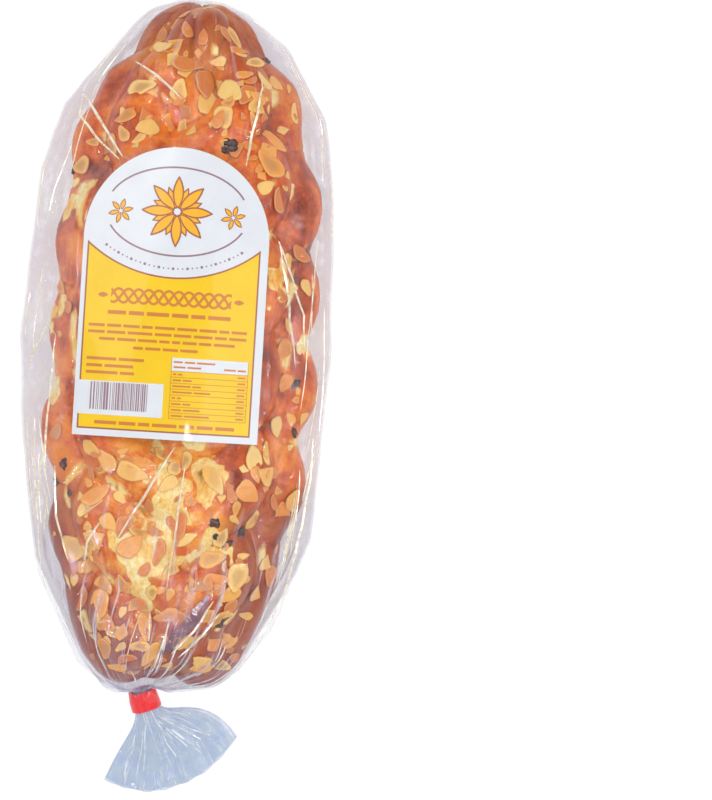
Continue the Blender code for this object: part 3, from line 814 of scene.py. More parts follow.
def strew_flakes(name, crust, kinds, finish, smallest, largest, spacing, density, seed):
    """Flakes between two lengths, strewn over the top of the crust."""
    thing = put_in_scene(name, crust.data.copy())
    points = np.array([v.co for v in crust.data.vertices])
    facing = np.array([v.normal for v in crust.data.vertices])
    off_label = smooth_step(label_distance(points[:, 0], points[:, 1]), 3 * MM, 4 * MM)
    width = np.maximum(LOWER_PLAIT[2] * taper(points[:, 1]), 1 * MM)
    on_top = smooth_step(facing[:, 2], 0.25, 0.4)
    inwards = 1 - 0.75 * smooth_step(np.abs(points[:, 0]) / width, 0.62, 0.15)
    patches = smooth_step(0.75 + 1.0 * noise_field(points, 22 * MM, 15 + seed))
    whole = 1 - 0.85 * torn_share(points)[0]
    high = smooth_step(points[:, 2], 25 * MM, 4 * MM)
    store(thing, strewn=off_label * on_top * inwards * patches * whole * high)
    return scattering_tree().grow(thing, {
        "Flakes": kinds, "Finish": finish, "Spacing": spacing, "Density": density, "Smallest": smallest,
        "Largest": largest, "Thickness": 0.8 * MM, "Seed": seed,
    })


def make_raisins(crust_tree, finish):
    """The raisins that show, wrinkled and half sunk in the crust, with a smaller one by each of the first."""
    mesh = bmesh.new()
    draw = random.Random(RAISIN_SEED)
    spots = list(RAISINS)
    for x, y, size in RAISINS[:SECOND_RAISINS]:
        place = (0.94 * x + draw.uniform(-4, 4), y + draw.uniform(-5, 5))
        spots.append((*place, size * draw.uniform(0.5, 0.75)))
    for index, (x, y, size) in enumerate(spots):
        there = lying_frame(*surface_place(crust_tree, x, y), 1.1 * index)
        shift = Vector((index * 3.1, 0, 0))
        for vert in bmesh.ops.create_icosphere(mesh, subdivisions=4, radius=0.5)["verts"]:
            broad, fine = (noise.noise(vert.co * scale + shift) for scale in (3.0, 6.0))
            lump = 0.92 + 0.5 * broad - 0.45 * abs(fine)
            flat = Vector((vert.co.x, vert.co.y * 0.72, vert.co.z * 0.55 - 0.04)) * lump
            vert.co = there @ (flat * size * MM)
    raisins = kept_mesh("raisins", mesh, finish)
    raisins.data.shade_smooth()
    return raisins


def neck_frame():
    """The neck's own directions: along it, across it and up."""
    along = (NECK_FINISH - NECK_START).normalized()
    side = UP.cross(along).normalized()
    up = along.cross(side).normalized()
    return along, side, up


def neck_ring(centre, half_width, half_depth, angles, gathers):
    """A loop of points round the neck."""
    _, side, up = neck_frame()
    wave = 1 + gathers * np.cos(NECK_GATHERS * angles)
    across = np.outer(np.cos(angles) * half_width * wave, side)
    above = np.outer(np.sin(angles) * half_depth * wave, up)
    return np.array(centre) + across + above


def neck_half_width(share):
    """The neck's half width, this far from its start to its finish."""
    first, last = NECK_HALF_WIDTH
    return first + (last - first) * share


def row_rays():
    """The start, lean and end direction of every row of rays, from the closed end to the neck."""
    closed = Vector((0, 1, 0))
    to_neck = (NECK_START - Vector((0, -CAP_CENTRE, FOLD_HEIGHT))).normalized()
    rows = []
    for k in range(1, CAP_ROWS):
        rows.append((CAP_CENTRE, math.pi / 2 * (1 - k / CAP_ROWS), closed))
    for k in range(STRAIGHT_ROWS + 1):
        rows.append((CAP_CENTRE * (1 - 2 * k / STRAIGHT_ROWS), 0.0, closed))
    for k in range(1, CAP_ROWS + 1):
        rows.append((-CAP_CENTRE, NECK_CAP_LEAN * k / CAP_ROWS, to_neck))
    return rows


def fold_points():
    """Points along both side folds and round the neck, which the tight film passes through."""
    points = []
    for fold in (FOLD_RIGHT, FOLD_LEFT):
        for (xa, ya), (xb, yb) in zip(fold, fold[1:]):
            for share in (0, 0.25, 0.5, 0.75):
                x = xa + (xb - xa) * share
                y = ya + (yb - ya) * share
                points.append(Vector((x * MM, y * MM, FOLD_HEIGHT)))
    angles = np.linspace(0, 2 * math.pi, 12, endpoint=False)
    ring = neck_ring(NECK_START, NECK_HALF_WIDTH[0], NECK_HALF_DEPTH, angles, 0)
    return points + [Vector(p) for p in ring]


def taut_film(points):
    """A search tree of the shape that film takes when it is pulled tight over these points."""
    mesh = bmesh.new()
    for point in points:
        mesh.verts.new(point)
    bmesh.ops.convex_hull(mesh, input=mesh.verts)
    tree = BVHTree.FromBMesh(mesh)
    mesh.free()
    return tree


def film_share(ways):
    """How much the bag's surface follows the tight film: all of it at the side folds, little on top."""
    rise = np.arctan2(ways[:, 2], np.hypot(ways[:, 0], ways[:, 1]))
    over = smooth_step(rise, math.radians(8), math.radians(30))
    return 1 - (1 - FILM_CLING) * over


def under_side(right, left, centre):
    """A row's points under the bag: in from the left fold, along the table and out to the right fold."""
    edges = []
    for fold in (left, right):
        edge = centre + BASE_SHARE * (fold - centre)
        edge[2] = FILM_FLOOR
        edges.append(edge)
    points = []
    for k in range(1, LOWER_COLUMNS):
        from_end = min(k, LOWER_COLUMNS - k)
        fold, edge = (left, edges[0]) if k < LOWER_COLUMNS / 2 else (right, edges[1])
        if from_end <= SIDE_COLUMNS:
            share = from_end / SIDE_COLUMNS
            point = fold + (edge - fold) * share
            point[2] = FILM_FLOOR + (fold[2] - FILM_FLOOR) * (1 - share) ** 1.25
        else:
            share = (k - SIDE_COLUMNS) / (LOWER_COLUMNS - 2 * SIDE_COLUMNS)
            point = edges[0] + (edges[1] - edges[0]) * share
        points.append(point)
    return np.array(points)


def gathers_at_neck(angles, seed=31, count=22):
    """How far the film puckers in round the neck, by angle: uneven folds that run into the tape."""
    draw = random.Random(seed)
    depth = np.zeros_like(angles)
    for k in range(count):
        middle = math.pi * (k + draw.uniform(0.2, 0.8)) / count
        width = draw.uniform(0.025, 0.06)
        depth += draw.uniform(0.4, 1.0) * np.exp(-(((angles - middle) / width) ** 2))
    return depth


def spread(values, times):
    """Softens a grid of values along and across, and keeps its peaks: film tents over what it lies on."""
    wide = values
    for _ in range(times):
        soft = (np.roll(wide, 1, 0) + np.roll(wide, -1, 0) + np.roll(wide, 1, 1) + np.roll(wide, -1, 1)) / 4
        wide = np.maximum(values, 0.5 * wide + 0.5 * soft)
    return wide


def film_rows(beads, bumps):
    """The rows of points over the bag's body, the slack at each, and the point at its closed end."""
    angles = np.arange(UPPER_COLUMNS + 1) * math.pi / UPPER_COLUMNS
    rays = []
    for station, lean, end_way in row_rays():
        ways = fan_of_ways(angles, lean, end_way)
        ways /= np.linalg.norm(ways, axis=1)[:, None]
        starts = np.tile([0.0, station, FOLD_HEIGHT], (len(angles), 1))
        rays.append((starts, ways, lean if station < 0 else 0.0))
    loaf = [loaf_reach(starts, ways, beads, FILM_BLEND)[0] for starts, ways, _ in rays]
    skin = [s + w * r[:, None] for (s, w, _), r in zip(rays, loaf)]
    tree = taut_film([Vector(p) for p in np.concatenate(skin)] + fold_points())
    outs, gaps, lifts = [], [], []
    for (starts, ways, lean), reach in zip(rays, loaf):
        tight = np.array([tree.ray_cast(Vector(s), Vector(w))[3] or 0.0 for s, w in zip(starts, ways)])
        reach = np.minimum(reach, tight)
        out = reach + film_share(ways) * (tight - reach) + FILM_OVER_LOAF
        top = [bump_top(bumps, Vector(s), Vector(w), far) for s, w, far in zip(starts, ways, out)]
        lifts.append(np.maximum(np.array(top) + FILM_OVER_BUMPS - out, 0))
        outs.append(out)
        gaps.append(tight - reach)
    lift = spread(np.array(lifts), TENT_ROUNDS)
    rows, slack = [], []
    for k, (starts, ways, lean) in enumerate(rays):
        out = outs[k] + lift[k]
        over = starts + ways * out[:, None]
        loose = smooth_step(gaps[k], 0, 9 * MM)
        creases = (0.25 + 0.75 * loose) * crinkle(over)
        gathered = smooth_step(lean / NECK_CAP_LEAN, 0.05, 0.95)
        out = (out + creases) * (1 - 0.055 * gathered * gathers_at_neck(angles))
        over = starts + ways * out[:, None]
        under = under_side(over[0], over[-1], starts[0])
        rows.append(np.concatenate([over, under]))
        upper = np.maximum(0.18 * film_share(ways) * loose, 0.20 * gathered)
        slack.append(np.concatenate([upper, np.ones(LOWER_COLUMNS - 1)]))
    pole = tree.ray_cast(Vector((0, CAP_CENTRE, FOLD_HEIGHT)), Vector((0, 1, 0)))[0]
    return pole, rows, np.array(slack)


def bump_top(bumps, start, way, out):
    """How far out along a ray the topmost flake or raisin reaches, or 0 where there is none."""
    reach = out + 6 * MM
    hit = bumps.ray_cast(start + way * reach, -way, 9 * MM)
    return reach - hit[3] if hit[3] is not None else 0.0


def crinkle(points):
    """The film's soft crinkles, in metres: long shallow ones and short ones."""
    long_way = np.stack([points[:, 0] * 2.2, points[:, 1] * 0.7, points[:, 2] * 2.2], axis=1)
    ridges = 1 - 2 * np.abs(noise_field(long_way, 26 * MM, 41))
    short = noise_field(points, 6 * MM, 43)
    return 0.8 * MM * (ridges - 0.5) + 0.25 * MM * short


def flatten_under_label(rows):
    """Lifts the film to the label that is stuck on it, and returns the height of the label's underside."""
    points = np.concatenate(rows)
    points = points[points[:, 2] > FOLD_HEIGHT]
    under = points[label_distance(points[:, 0], points[:, 1]) < LABEL_MARGIN]
    peak = (under[:, 2] + label_drop(under[:, 0], under[:, 1])).max()
    peak = min(peak, LABEL_TOP + LABEL_RISE_ALLOWED)
    for row in rows:
        x, y, z = row.T
        inside = label_distance(x, y)
        held = 1 - smooth_step(inside, LABEL_MARGIN, LABEL_SLOPE)
        held = np.where(z > FOLD_HEIGHT * 1.3, held, 0)
        bent = peak - label_drop(x, y)
        lifted = np.where(inside < 0, bent, np.maximum(z, bent))
        row[:, 2] = z + held * (lifted - z)
    return peak + LABEL_OVER_FILM


def label_drop(x, y):
    """How far the label's bent surface lies below its highest place."""
    return LABEL_BEND_ACROSS * (x - LABEL_CENTRE_X) ** 2 + LABEL_BEND_ALONG * (y - LABEL_PEAK_Y) ** 2


def make_film(pole, rows, slack, finish):
    """The bag's body: one closed skin from its closed end to inside the tape."""
    over = np.arange(UPPER_COLUMNS) * math.pi / UPPER_COLUMNS
    under = math.pi + np.arange(LOWER_COLUMNS) * math.pi / LOWER_COLUMNS
    angles = np.concatenate([over, under])
    rows = list(rows)
    for share in (0.0, 0.33, 0.66):
        centre = NECK_START.lerp(NECK_FINISH, share)
        rows.append(neck_ring(centre, neck_half_width(share), NECK_HALF_DEPTH, angles, GATHER_DEPTH))
    points = np.concatenate(rows + [np.array([pole]), rows[-1].mean(axis=0)[None]])
    film = mesh_object("bag_film", points, grid_faces(len(rows), COLUMNS, with_tips=True))
    way_back = UPPER_COLUMNS * (1 - np.arange(LOWER_COLUMNS) / LOWER_COLUMNS)
    across = np.concatenate([np.arange(UPPER_COLUMNS), way_back])
    drawn = smooth_step(-45 * MM - points[:, 1], 0, 85 * MM)
    beyond = smooth_step(points[:, 1], 60 * MM, 90 * MM)
    store(
        film, slack=np.concatenate([slack.ravel(), np.ones(3 * COLUMNS), [0.6, 1.0]]),
        across=np.concatenate([np.tile(across, len(rows)), [80, 80]]),
        down=np.concatenate([np.repeat(np.arange(len(rows)), COLUMNS), [0, len(rows)]]),
        drawn=0.04 + 0.25 * beyond + 0.9 * drawn,
    )
    film.data.materials.append(finish)
    return film


def fan_sheet(top_pleats, low_pleats, reach_share, body_share, seed):
    """One closed layer of the spare film: its points and faces, from the neck to its rim."""
    columns = FAN_COLUMNS
    across = np.linspace(0, 1, columns + 1)
    draw = random.Random(seed)
    waves = [(draw.uniform(2, 13), draw.uniform(0, 6.28), draw.uniform(0.3, 1.0)) for _ in range(7)]
    along, side, up = (np.array(v) for v in neck_frame())
    lowest = FAN_PLEAT_DEPTH + FAN_THICKNESS / 2 + 0.2 * MM
    flat_edge = 1 - (2 * across - 1) ** 8
    thick = np.sqrt(np.maximum(0, 1 - (2 * across - 1) ** 4))
    points = []
    for level, pleats in ((1, top_pleats), (-1, low_pleats)):
        around = np.outer(np.cos(math.pi * across) * NECK_HALF_WIDTH[1], side)
        above = np.outer(level * np.sin(math.pi * across) * NECK_HALF_DEPTH * body_share, up)
        ring = np.array(NECK_START.lerp(NECK_FINISH, 0.7)) + around + above
        fold = np.cos(2 * math.pi * pleats * across)
        for count, phase, weight in waves:
            fold = fold + weight * 0.4 * np.sin(count * 2 * math.pi * across + phase + 0.8 * level)
        fold = 0.5 * fold * flat_edge
        for k in range(FAN_ROWS + 1):
            share = k / FAN_ROWS
            curl = FAN_CURL * (1 - share) * (1 - across) ** 2
            heading = FAN_RIGHT + curl + (FAN_LEFT - FAN_RIGHT) * across
            way = np.stack([np.sin(heading), -np.cos(heading), 0 * heading], axis=1)
            ragged = 1 + 0.004 * share * np.sin(17 * across + seed) + 0.004 * share * fold
            radius = FAN_LENGTH * share * (1 + 0.13 * (1 - across) ** 4) * ragged * reach_share
            flat = np.array(NECK_FINISH) + around * (1 - share) + way * radius[:, None]
            middle = lowest + (NECK_FINISH.z - lowest) * (1 - share) ** 1.6
            body = (NECK_HALF_DEPTH * (1 - share) ** 2 + FAN_THICKNESS / 2) * thick * body_share * level
            small = 0.5 * MM * share * noise_field(flat, 7 * MM, seed + level) * flat_edge
            flat[:, 2] = middle + FAN_PLEAT_DEPTH * share**0.7 * fold * 0.8 + body + small
            flat[:, 2] = np.maximum(flat[:, 2], (0.35 + 0.25 * level) * MM)
            mix = 1 - (1 - share) ** 4
            points.append((ring + along * FAN_LENGTH * share) * (1 - mix) + flat * mix)
    return layer_faces(points, columns)


def layer_faces(rows, columns):
    """Joins the upper and lower rows of one flat layer into a closed skin."""
    wide = columns + 1
    half = len(rows) // 2
    points = np.concatenate(rows)
    low = half * wide
    faces = []
    for k in range(half - 1):
        for j in range(columns):
            a = k * wide + j
            faces.append((a, a + 1, a + wide + 1, a + wide))
            faces.append((low + a, low + a + wide, low + a + wide + 1, low + a + 1))
        for j in (0, columns):
            a = k * wide + j
            faces.append((a, a + wide, low + a + wide, low + a))
    for k in (0, half - 1):
        for j in range(columns):
            a = k * wide + j
            faces.append((a, low + a, low + a + 1, a + 1))
    return points, faces


def make_spare_film(finish):
    """The fan of spare film beyond the tape, of two layers with uneven pleats."""
    points, faces = [], []
    first = 0
    for layer in FAN_LAYERS:
        layer_points, layer_sides = fan_sheet(*layer)
        points.append(layer_points)
        faces += [tuple(first + i for i in face) for face in layer_sides]
        first += len(layer_points)
    fan = mesh_object("spare_film", np.concatenate(points), faces)
    rows = first // (FAN_COLUMNS + 1)
    store(
        fan, slack=np.ones(first), across=np.tile(np.arange(FAN_COLUMNS + 1), rows) * 0.4,
        down=np.repeat(np.arange(rows) % (FAN_ROWS + 1), FAN_COLUMNS + 1), drawn=np.ones(first),
    )
    fan.data.materials.append(finish)
    return fan


# The film's sharp creases: points in millimetres from above, and the crease's width.
CREASES = (
    (((-28, 125), (-18, 118), (-5, 107)), 0.9),
    (((-51, 111), (-44, 101), (-30, 79)), 1.1),
    (((-51, 111), (-52, 101), (-43, 90), (-31, 78)), 0.9),
    (((28, 121), (29, 116), (27, 103), (23, 78)), 1.0),
    (((40, 48), (46, 23), (52, -8)), 0.9),
    (((40, 48), (54, 17), (55, -2)), 0.8),
    (((-60, 6), (-65, -4), (-69, -15)), 1.1),
    (((-60, 6), (-56, 1), (-57, -23), (-58, -46), (-60, -61), (-61, -86)), 1.0),
    (((0, -45), (-10, -63), (-24, -89)), 0.9),
    (((5, -51), (0, -110)), 0.7),
    (((-53, -57), (-51, -79), (-44, -100)), 0.9),
    (((-31, -80), (-36, -89), (-38, -105)), 0.9),
    (((-7, -118), (-6, -133)), 0.8),
    (((21, -112), (13, -126), (3, -138)), 0.9),
    (((24, -117), (17, -128), (6, -140)), 0.7),
    (((62, -38), (62, -56), (59, -79), (57, -92), (53, -110), (47, -124), (41, -133)), 1.2),
)
# The short creases that a rule spreads over the fan, near the neck and by the side folds.
FAN_CREASES = 15
NECK_CREASES = 18
FOLD_CREASES = 34
CREASE_SEED = 17
# The doubled fold by the neck: its line, width and height.
NECK_FOLD = ((19, -110), (12, -121), (4, -131), (-1, -139))
NECK_FOLD_WIDTH = 6 * MM
NECK_FOLD_HEIGHT = 1.6 * MM


def crease_path(film_tree, line):
    """Points along a crease on the film, close together, with the way the film faces at each."""
    path = []
    for (xa, ya), (xb, yb) in zip(line, line[1:]):
        steps = max(2, int(math.hypot(xb - xa, yb - ya) / 1.5))
        for k in range(steps):
            share = k / steps
            x = (xa + (xb - xa) * share) * MM
            y = (ya + (yb - ya) * share) * MM
            x += 0.5 * MM * noise.noise(Vector((x, y, 0)) / (9 * MM))
            point, normal = from_above(film_tree, x, y)
            if point is not None:
                path.append((point, normal))
    return path


def add_crease(mesh, path, width, height):
    """Adds one pinched ridge of film along a path: a thin closed strip with three sides."""
    if len(path) < 3:
        return
    loops = []
    for k, (point, normal) in enumerate(path):
        before = path[max(k - 1, 0)][0]
        after = path[min(k + 1, len(path) - 1)][0]
        along = (after - before).normalized()
        across = normal.cross(along).normalized()
        fade = math.sin(math.pi * (k + 0.6) / (len(path) + 0.2)) ** 0.5
        half = width * fade / 2
        low = point - normal * 0.1 * MM
        corners = (low - across * half, point + normal * height * fade, low + across * half)
        loops.append([mesh.verts.new(c) for c in corners])
    for a, b in zip(loops, loops[1:]):
        for j in range(3):
            i = (j + 1) % 3
            mesh.faces.new((a[j], b[j], b[i], a[i]))
    mesh.faces.new(loops[0])
    mesh.faces.new(loops[-1][::-1])


def grid_path(rows, first, last, column, drift):
    """A crease that runs along the film's own rows, from one row to another."""
    path = []
    for i in range(first, last, 2):
        spot = column + drift * (i - first) / max(last - first, 1)
        spot = min(max(spot, 1), UPPER_COLUMNS - 2)
        j = int(spot)
        point = Vector(rows[i][j]).lerp(Vector(rows[i][j + 1]), spot - j)
        along = Vector(rows[i + 1][j]) - Vector(rows[i - 1][j])
        across = Vector(rows[i][j + 1]) - Vector(rows[i][j - 1])
        normal = across.cross(along).normalized()
        if normal.dot(point - Vector((0, point.y, FOLD_HEIGHT))) < 0:
            normal = -normal
        path.append((point, normal))
    return path


def make_neck_fold(film_tree, finish):
    """The fold where the film is doubled over on its way to the neck, darkened with painted shade."""
    mesh = bmesh.new()
    add_crease(mesh, crease_path(film_tree, NECK_FOLD), NECK_FOLD_WIDTH, NECK_FOLD_HEIGHT)
    bmesh.ops.recalc_face_normals(mesh, faces=mesh.faces)
    return kept_mesh("neck_fold", mesh, finish)


def make_creases(film_tree, rows, finish):
    """The film's sharp creases: the long ones seen in the bag, and short ones by the folds and the neck."""
    mesh = bmesh.new()
    for line, width in CREASES:
        add_crease(mesh, crease_path(film_tree, line), 1.35 * width * MM, 0.6 * MM)
    draw = random.Random(CREASE_SEED)
    for _ in range(FAN_CREASES):
        heading = draw.uniform(FAN_LEFT, FAN_RIGHT)
        near, far = draw.uniform(3, 16), draw.uniform(20, 34)
        line = []
        for out, bend in ((near, 0), ((near + far) / 2, draw.uniform(-0.05, 0.05)), (far, 0)):
            x = NECK_FINISH.x / MM + out * math.sin(heading + bend)
            line.append((x, NECK_FINISH.y / MM - out * math.cos(heading + bend)))
        add_crease(mesh, crease_path(film_tree, line), draw.uniform(0.4, 1.0) * MM, 0.35 * MM)
    count = len(rows)
    for _ in range(NECK_CREASES):
        first = count - draw.randint(14, 40)
        last = min(first + draw.randint(10, 30), count - 2)
        path = grid_path(rows, first, last, draw.uniform(4, UPPER_COLUMNS - 4), draw.uniform(-5, 5))
        add_crease(mesh, path, draw.uniform(0.5, 0.9) * MM, 0.35 * MM)
    for _ in range(FOLD_CREASES):
        first = draw.randint(10, count - 70)
        last = first + draw.randint(14, 46)
        beside = draw.uniform(1, 16)
        column = beside if draw.random() < 0.5 else UPPER_COLUMNS - beside
        path = grid_path(rows, first, last, column, draw.uniform(-6, 6))
        add_crease(mesh, path, draw.uniform(0.4, 0.8) * MM, 0.3 * MM)
    bmesh.ops.recalc_face_normals(mesh, faces=mesh.faces)
    return kept_mesh("film_creases", mesh, finish)


def on_label(x, y, bottom, lift):
    """A place on the label: x from its middle and y along the loaf, in millimetres."""
    place_x = LABEL_CENTRE_X + x * MM
    place_y = y * MM
    return Vector((place_x, place_y, bottom + lift - label_drop(place_x, place_y)))


def make_label_sheet(bottom, finish):
    """The label's paper: a thin sheet with a half-round top, bent over the loaf."""
    columns, lines_along = 72, 60
    rows = []
    for lift in (0.0, LABEL_SHEET):
        for k in range(columns + 1):
            angle = math.pi * (k / columns - 0.5)
            x = LABEL_HALF_WIDTH / MM * math.sin(angle)
            head = (LABEL_ARCH_Y + LABEL_HALF_WIDTH * math.cos(angle)) / MM
            foot = LABEL_FOOT_Y / MM
            along = [foot + (head - foot) * j / lines_along for j in range(lines_along + 1)]
            rows.append(np.array([on_label(x, y, bottom, lift) for y in along]))
    sheet = mesh_object("label_sheet", *layer_faces(rows, lines_along))
    sheet.data.set_sharp_from_angle(angle=math.radians(35))
    sheet.data.materials.append(finish)
    return sheet


def panel_head(x, inset):
    """The height of the yellow panel's hollow top edge."""
    radius = PANEL_DIP_RADIUS + inset
    return PANEL_DIP + PANEL_DIP_RADIUS - math.sqrt(radius**2 - (x + 0.8) ** 2)


class Press:
    """Prints the label in millimetres: each mark has its lift above the paper and its ink."""

    def __init__(self, bottom):
        self.mesh = bmesh.new()
        self.bottom = bottom

    def field(self, lines, lift, ink):
        """One field of colour: lines of points across it, each a list of x and y."""
        lift = LABEL_SHEET + lift * MM
        loops = [[self.mesh.verts.new(on_label(*p, self.bottom, lift)) for p in line] for line in lines]
        for a, b in zip(loops, loops[1:]):
            for j in range(len(a) - 1):
                face = self.mesh.faces.new((a[j], b[j], b[j + 1], a[j + 1]))
                face.material_index = ink

    def bar(self, x0, x1, y0, y1, lift, ink):
        """A plain bar."""
        across = max(1, math.ceil((x1 - x0) / 4))
        along = max(1, math.ceil((y1 - y0) / 8))
        heights = [y0 + (y1 - y0) * j / along for j in range(along + 1)]
        lines = [[(x0 + (x1 - x0) * k / across, y) for y in heights] for k in range(across + 1)]
        self.field(lines, lift, ink)

    def petal(self, centre, turn, near, far, width, lift, ink):
        """One pointed petal that stands out from a centre."""
        lines = []
        way = (math.cos(turn), math.sin(turn))
        for k in range(7):
            out = near + (far - near) * (k / 6)
            half = width / 2 * math.sin(math.pi * min(0.04 + 0.96 * (k / 6), 0.985)) ** 0.8
            line = []
            for beside in (half * (j / 2 - 1) for j in range(5)):
                x = centre[0] + way[0] * out + way[1] * beside
                y = centre[1] + way[1] * out - way[0] * beside
                line.append((x, y))
            lines.append(line)
        self.field(lines, lift, ink)

    def ring(self, centre, half_width, half_height, line_width, span, lift, ink):
        """A ring or a part of one, between two angles in degrees."""
        lines = []
        steps = max(8, int(abs(span[1] - span[0]) / 5))
        for k in range(steps + 1):
            angle = math.radians(span[0] + (span[1] - span[0]) * k / steps)
            line = []
            for edge in (-line_width / 2, line_width / 2):
                x = centre[0] + (half_width + edge) * math.cos(angle)
                y = centre[1] + (half_height + edge) * math.sin(angle)
                line.append((x, y))
            lines.append(line)
        self.field(lines, lift, ink)

    def words(self, x0, x1, y, height, count, lift, ink, seed):
        """A row of short bars of uneven length, as even as a line of small print."""
        draw = random.Random(seed)
        shares = [draw.uniform(0.5, 1.5) for _ in range(count)]
        space = 0.5 * height + 0.4
        room = (x1 - x0 - space * (count - 1)) / sum(shares)
        for share in shares:
            self.bar(x0, x0 + room * share, y - height / 2, y + height / 2, lift, ink)
            x0 += room * share + space

    def panel(self, inset, lift, ink):
        """The panel's field: straight sides and a hollow top."""
        left = PANEL_SIDES[0] + inset
        right = PANEL_SIDES[1] - inset
        foot = PANEL_FOOT + inset
        lines = []
        for x in (left + (right - left) * k / 40 for k in range(41)):
            head = panel_head(x, inset)
            lines.append([(x, foot + (head - foot) * j / 10) for j in range(11)])
        self.field(lines, lift, ink)

    def outlined_petal(self, centre, turn, outer, inner, lift):
        """A gold petal on a slightly larger one in the line's colour."""
        self.petal(centre, turn, *outer, lift, BROWN)
        self.petal(centre, turn, *inner, lift + 0.05, GOLD)

    def star(self):
        """A plain eight-pointed star with small ones beside it, between two arcs and an arc of dots."""
        middle = (-0.5, 57.5)
        for k in range(8):
            turn = math.pi / 4 * k
            self.outlined_petal(middle, turn + math.pi / 8, (1.4, 11.5, 3.6), (2.2, 10.4, 2.4), 0.05)
        for k in range(8):
            turn = math.pi / 4 * k
            self.outlined_petal(middle, turn, (1.6, 15.5, 5.0), (2.4, 14.2, 3.6), 0.15)
        for side in (-1, 1):
            small = (middle[0] + side * 24.5, middle[1] - 1.0)
            for k in range(6):
                turn = math.pi / 3 * k + 0.26
                self.outlined_petal(small, turn, (0.7, 5.6, 2.3), (1.2, 4.9, 1.4), 0.05)
        for span in ((22, 158), (202, 338)):
            self.ring(middle, 31.0, 19.4, 0.8, span, 0.05, MAUVE)
        out = PANEL_DIP_RADIUS - 3.7
        for k in range(31):
            turn = math.radians(-90 + (k - 15) * 2.25)
            dot = (-0.8 + out * math.cos(turn), PANEL_DIP + PANEL_DIP_RADIUS + out * math.sin(turn))
            size = 0.62 if k % 3 == 0 else 0.36
            self.ring(dot, size / 2, size / 2, size, (0, 360), 0.05, MAUVE)

    def plait(self, x0, x1, y, half_height, line_width):
        """A band plaited from three lines, with a small lozenge at each end."""
        steps = 96
        for strand in range(3):
            lines = []
            for k in range(steps + 1):
                x = x0 + (x1 - x0) * k / steps
                turn = 2 * math.pi * (4 * k / steps + strand / 3)
                height = y + half_height * math.sin(turn)
                lean = math.atan(half_height * math.cos(turn) * 8 * math.pi / (x1 - x0))
                aside = line_width / 2 / math.cos(lean)
                lines.append([(x, height - aside), (x, height + aside)])
            self.field(lines, 0.15 + 0.03 * strand, TEXT)
        for side in (x0 - 3.4, x1 + 3.4):
            self.petal((side, y), 0.0, -2.2, 2.2, 2.2, 0.15, TEXT)

    def code(self):
        """A plain bar code in its white box."""
        self.bar(-39.3, -1.8, -32.6, -17.9, 0.15, WHITE_INK)
        draw = random.Random(5)
        x = -33.5
        while x < -8.6:
            wide = draw.choice((0.32, 0.32, 0.62, 0.9))
            self.bar(x, x + wide, -30.4, -18.4, 0.2, MAUVE)
            x += wide + draw.choice((0.3, 0.45, 0.7))

    def table(self):
        """The ruled table with its white heading."""
        self.bar(1.1, 34.6, -11.9, -6.1, 0.15, WHITE_INK)
        for k in range(9):
            y = -11.9 - 20.7 * k / 8
            self.bar(1.1, 34.6, y - 0.12, y + 0.12, 0.2, TEXT)
            if k < 8:
                self.words(2.0, 6 + 4.2 * ((k * 5) % 4), y - 1.3, 0.75, 2, 0.2, TEXT, 60 + k)
                self.words(30.2, 33.6, y - 1.3, 0.75, 1, 0.2, TEXT, 80 + k)
        heading = ((2.0, 20.0, -7.9, 3), (2.0, 14.0, -10.1, 2), (24.0, 33.6, -10.1, 2))
        for k, (x0, x1, y, count) in enumerate(heading):
            self.words(x0, x1, y, 0.8, count, 0.2, TEXT, 91 + k)
        for x in (1.1, 34.6):
            self.bar(x - 0.12, x + 0.12, -32.6, -6.1, 0.2, TEXT)


def make_label_print(bottom, inks):
    """The label's print: fields of colour and plain shapes, each a hair above the one below."""
    press = Press(bottom)
    press.panel(0.0, 0.05, BROWN)
    press.panel(0.75, 0.1, YELLOW)
    press.star()
    press.plait(-27.0, 25.4, 19.6, 3.0, 1.1)
    for x0, x1, y, height, count, seed in PRINTED_LINES:
        press.words(x0, x1, y, height, count, 0.15, TEXT, seed)
    press.code()
    press.table()
    press.mesh.normal_update()
    for face in press.mesh.faces:
        if face.normal.z < 0:
            face.normal_flip()
    thing = kept_mesh("label_print", press.mesh, *inks)
    body = thing.modifiers.new("ink body", "SOLIDIFY")
    body.thickness = 0.04 * MM
    body.offset = -1
    kept_result(thing, body)
    thing.data.set_sharp_from_angle(angle=math.radians(35))
    return thing


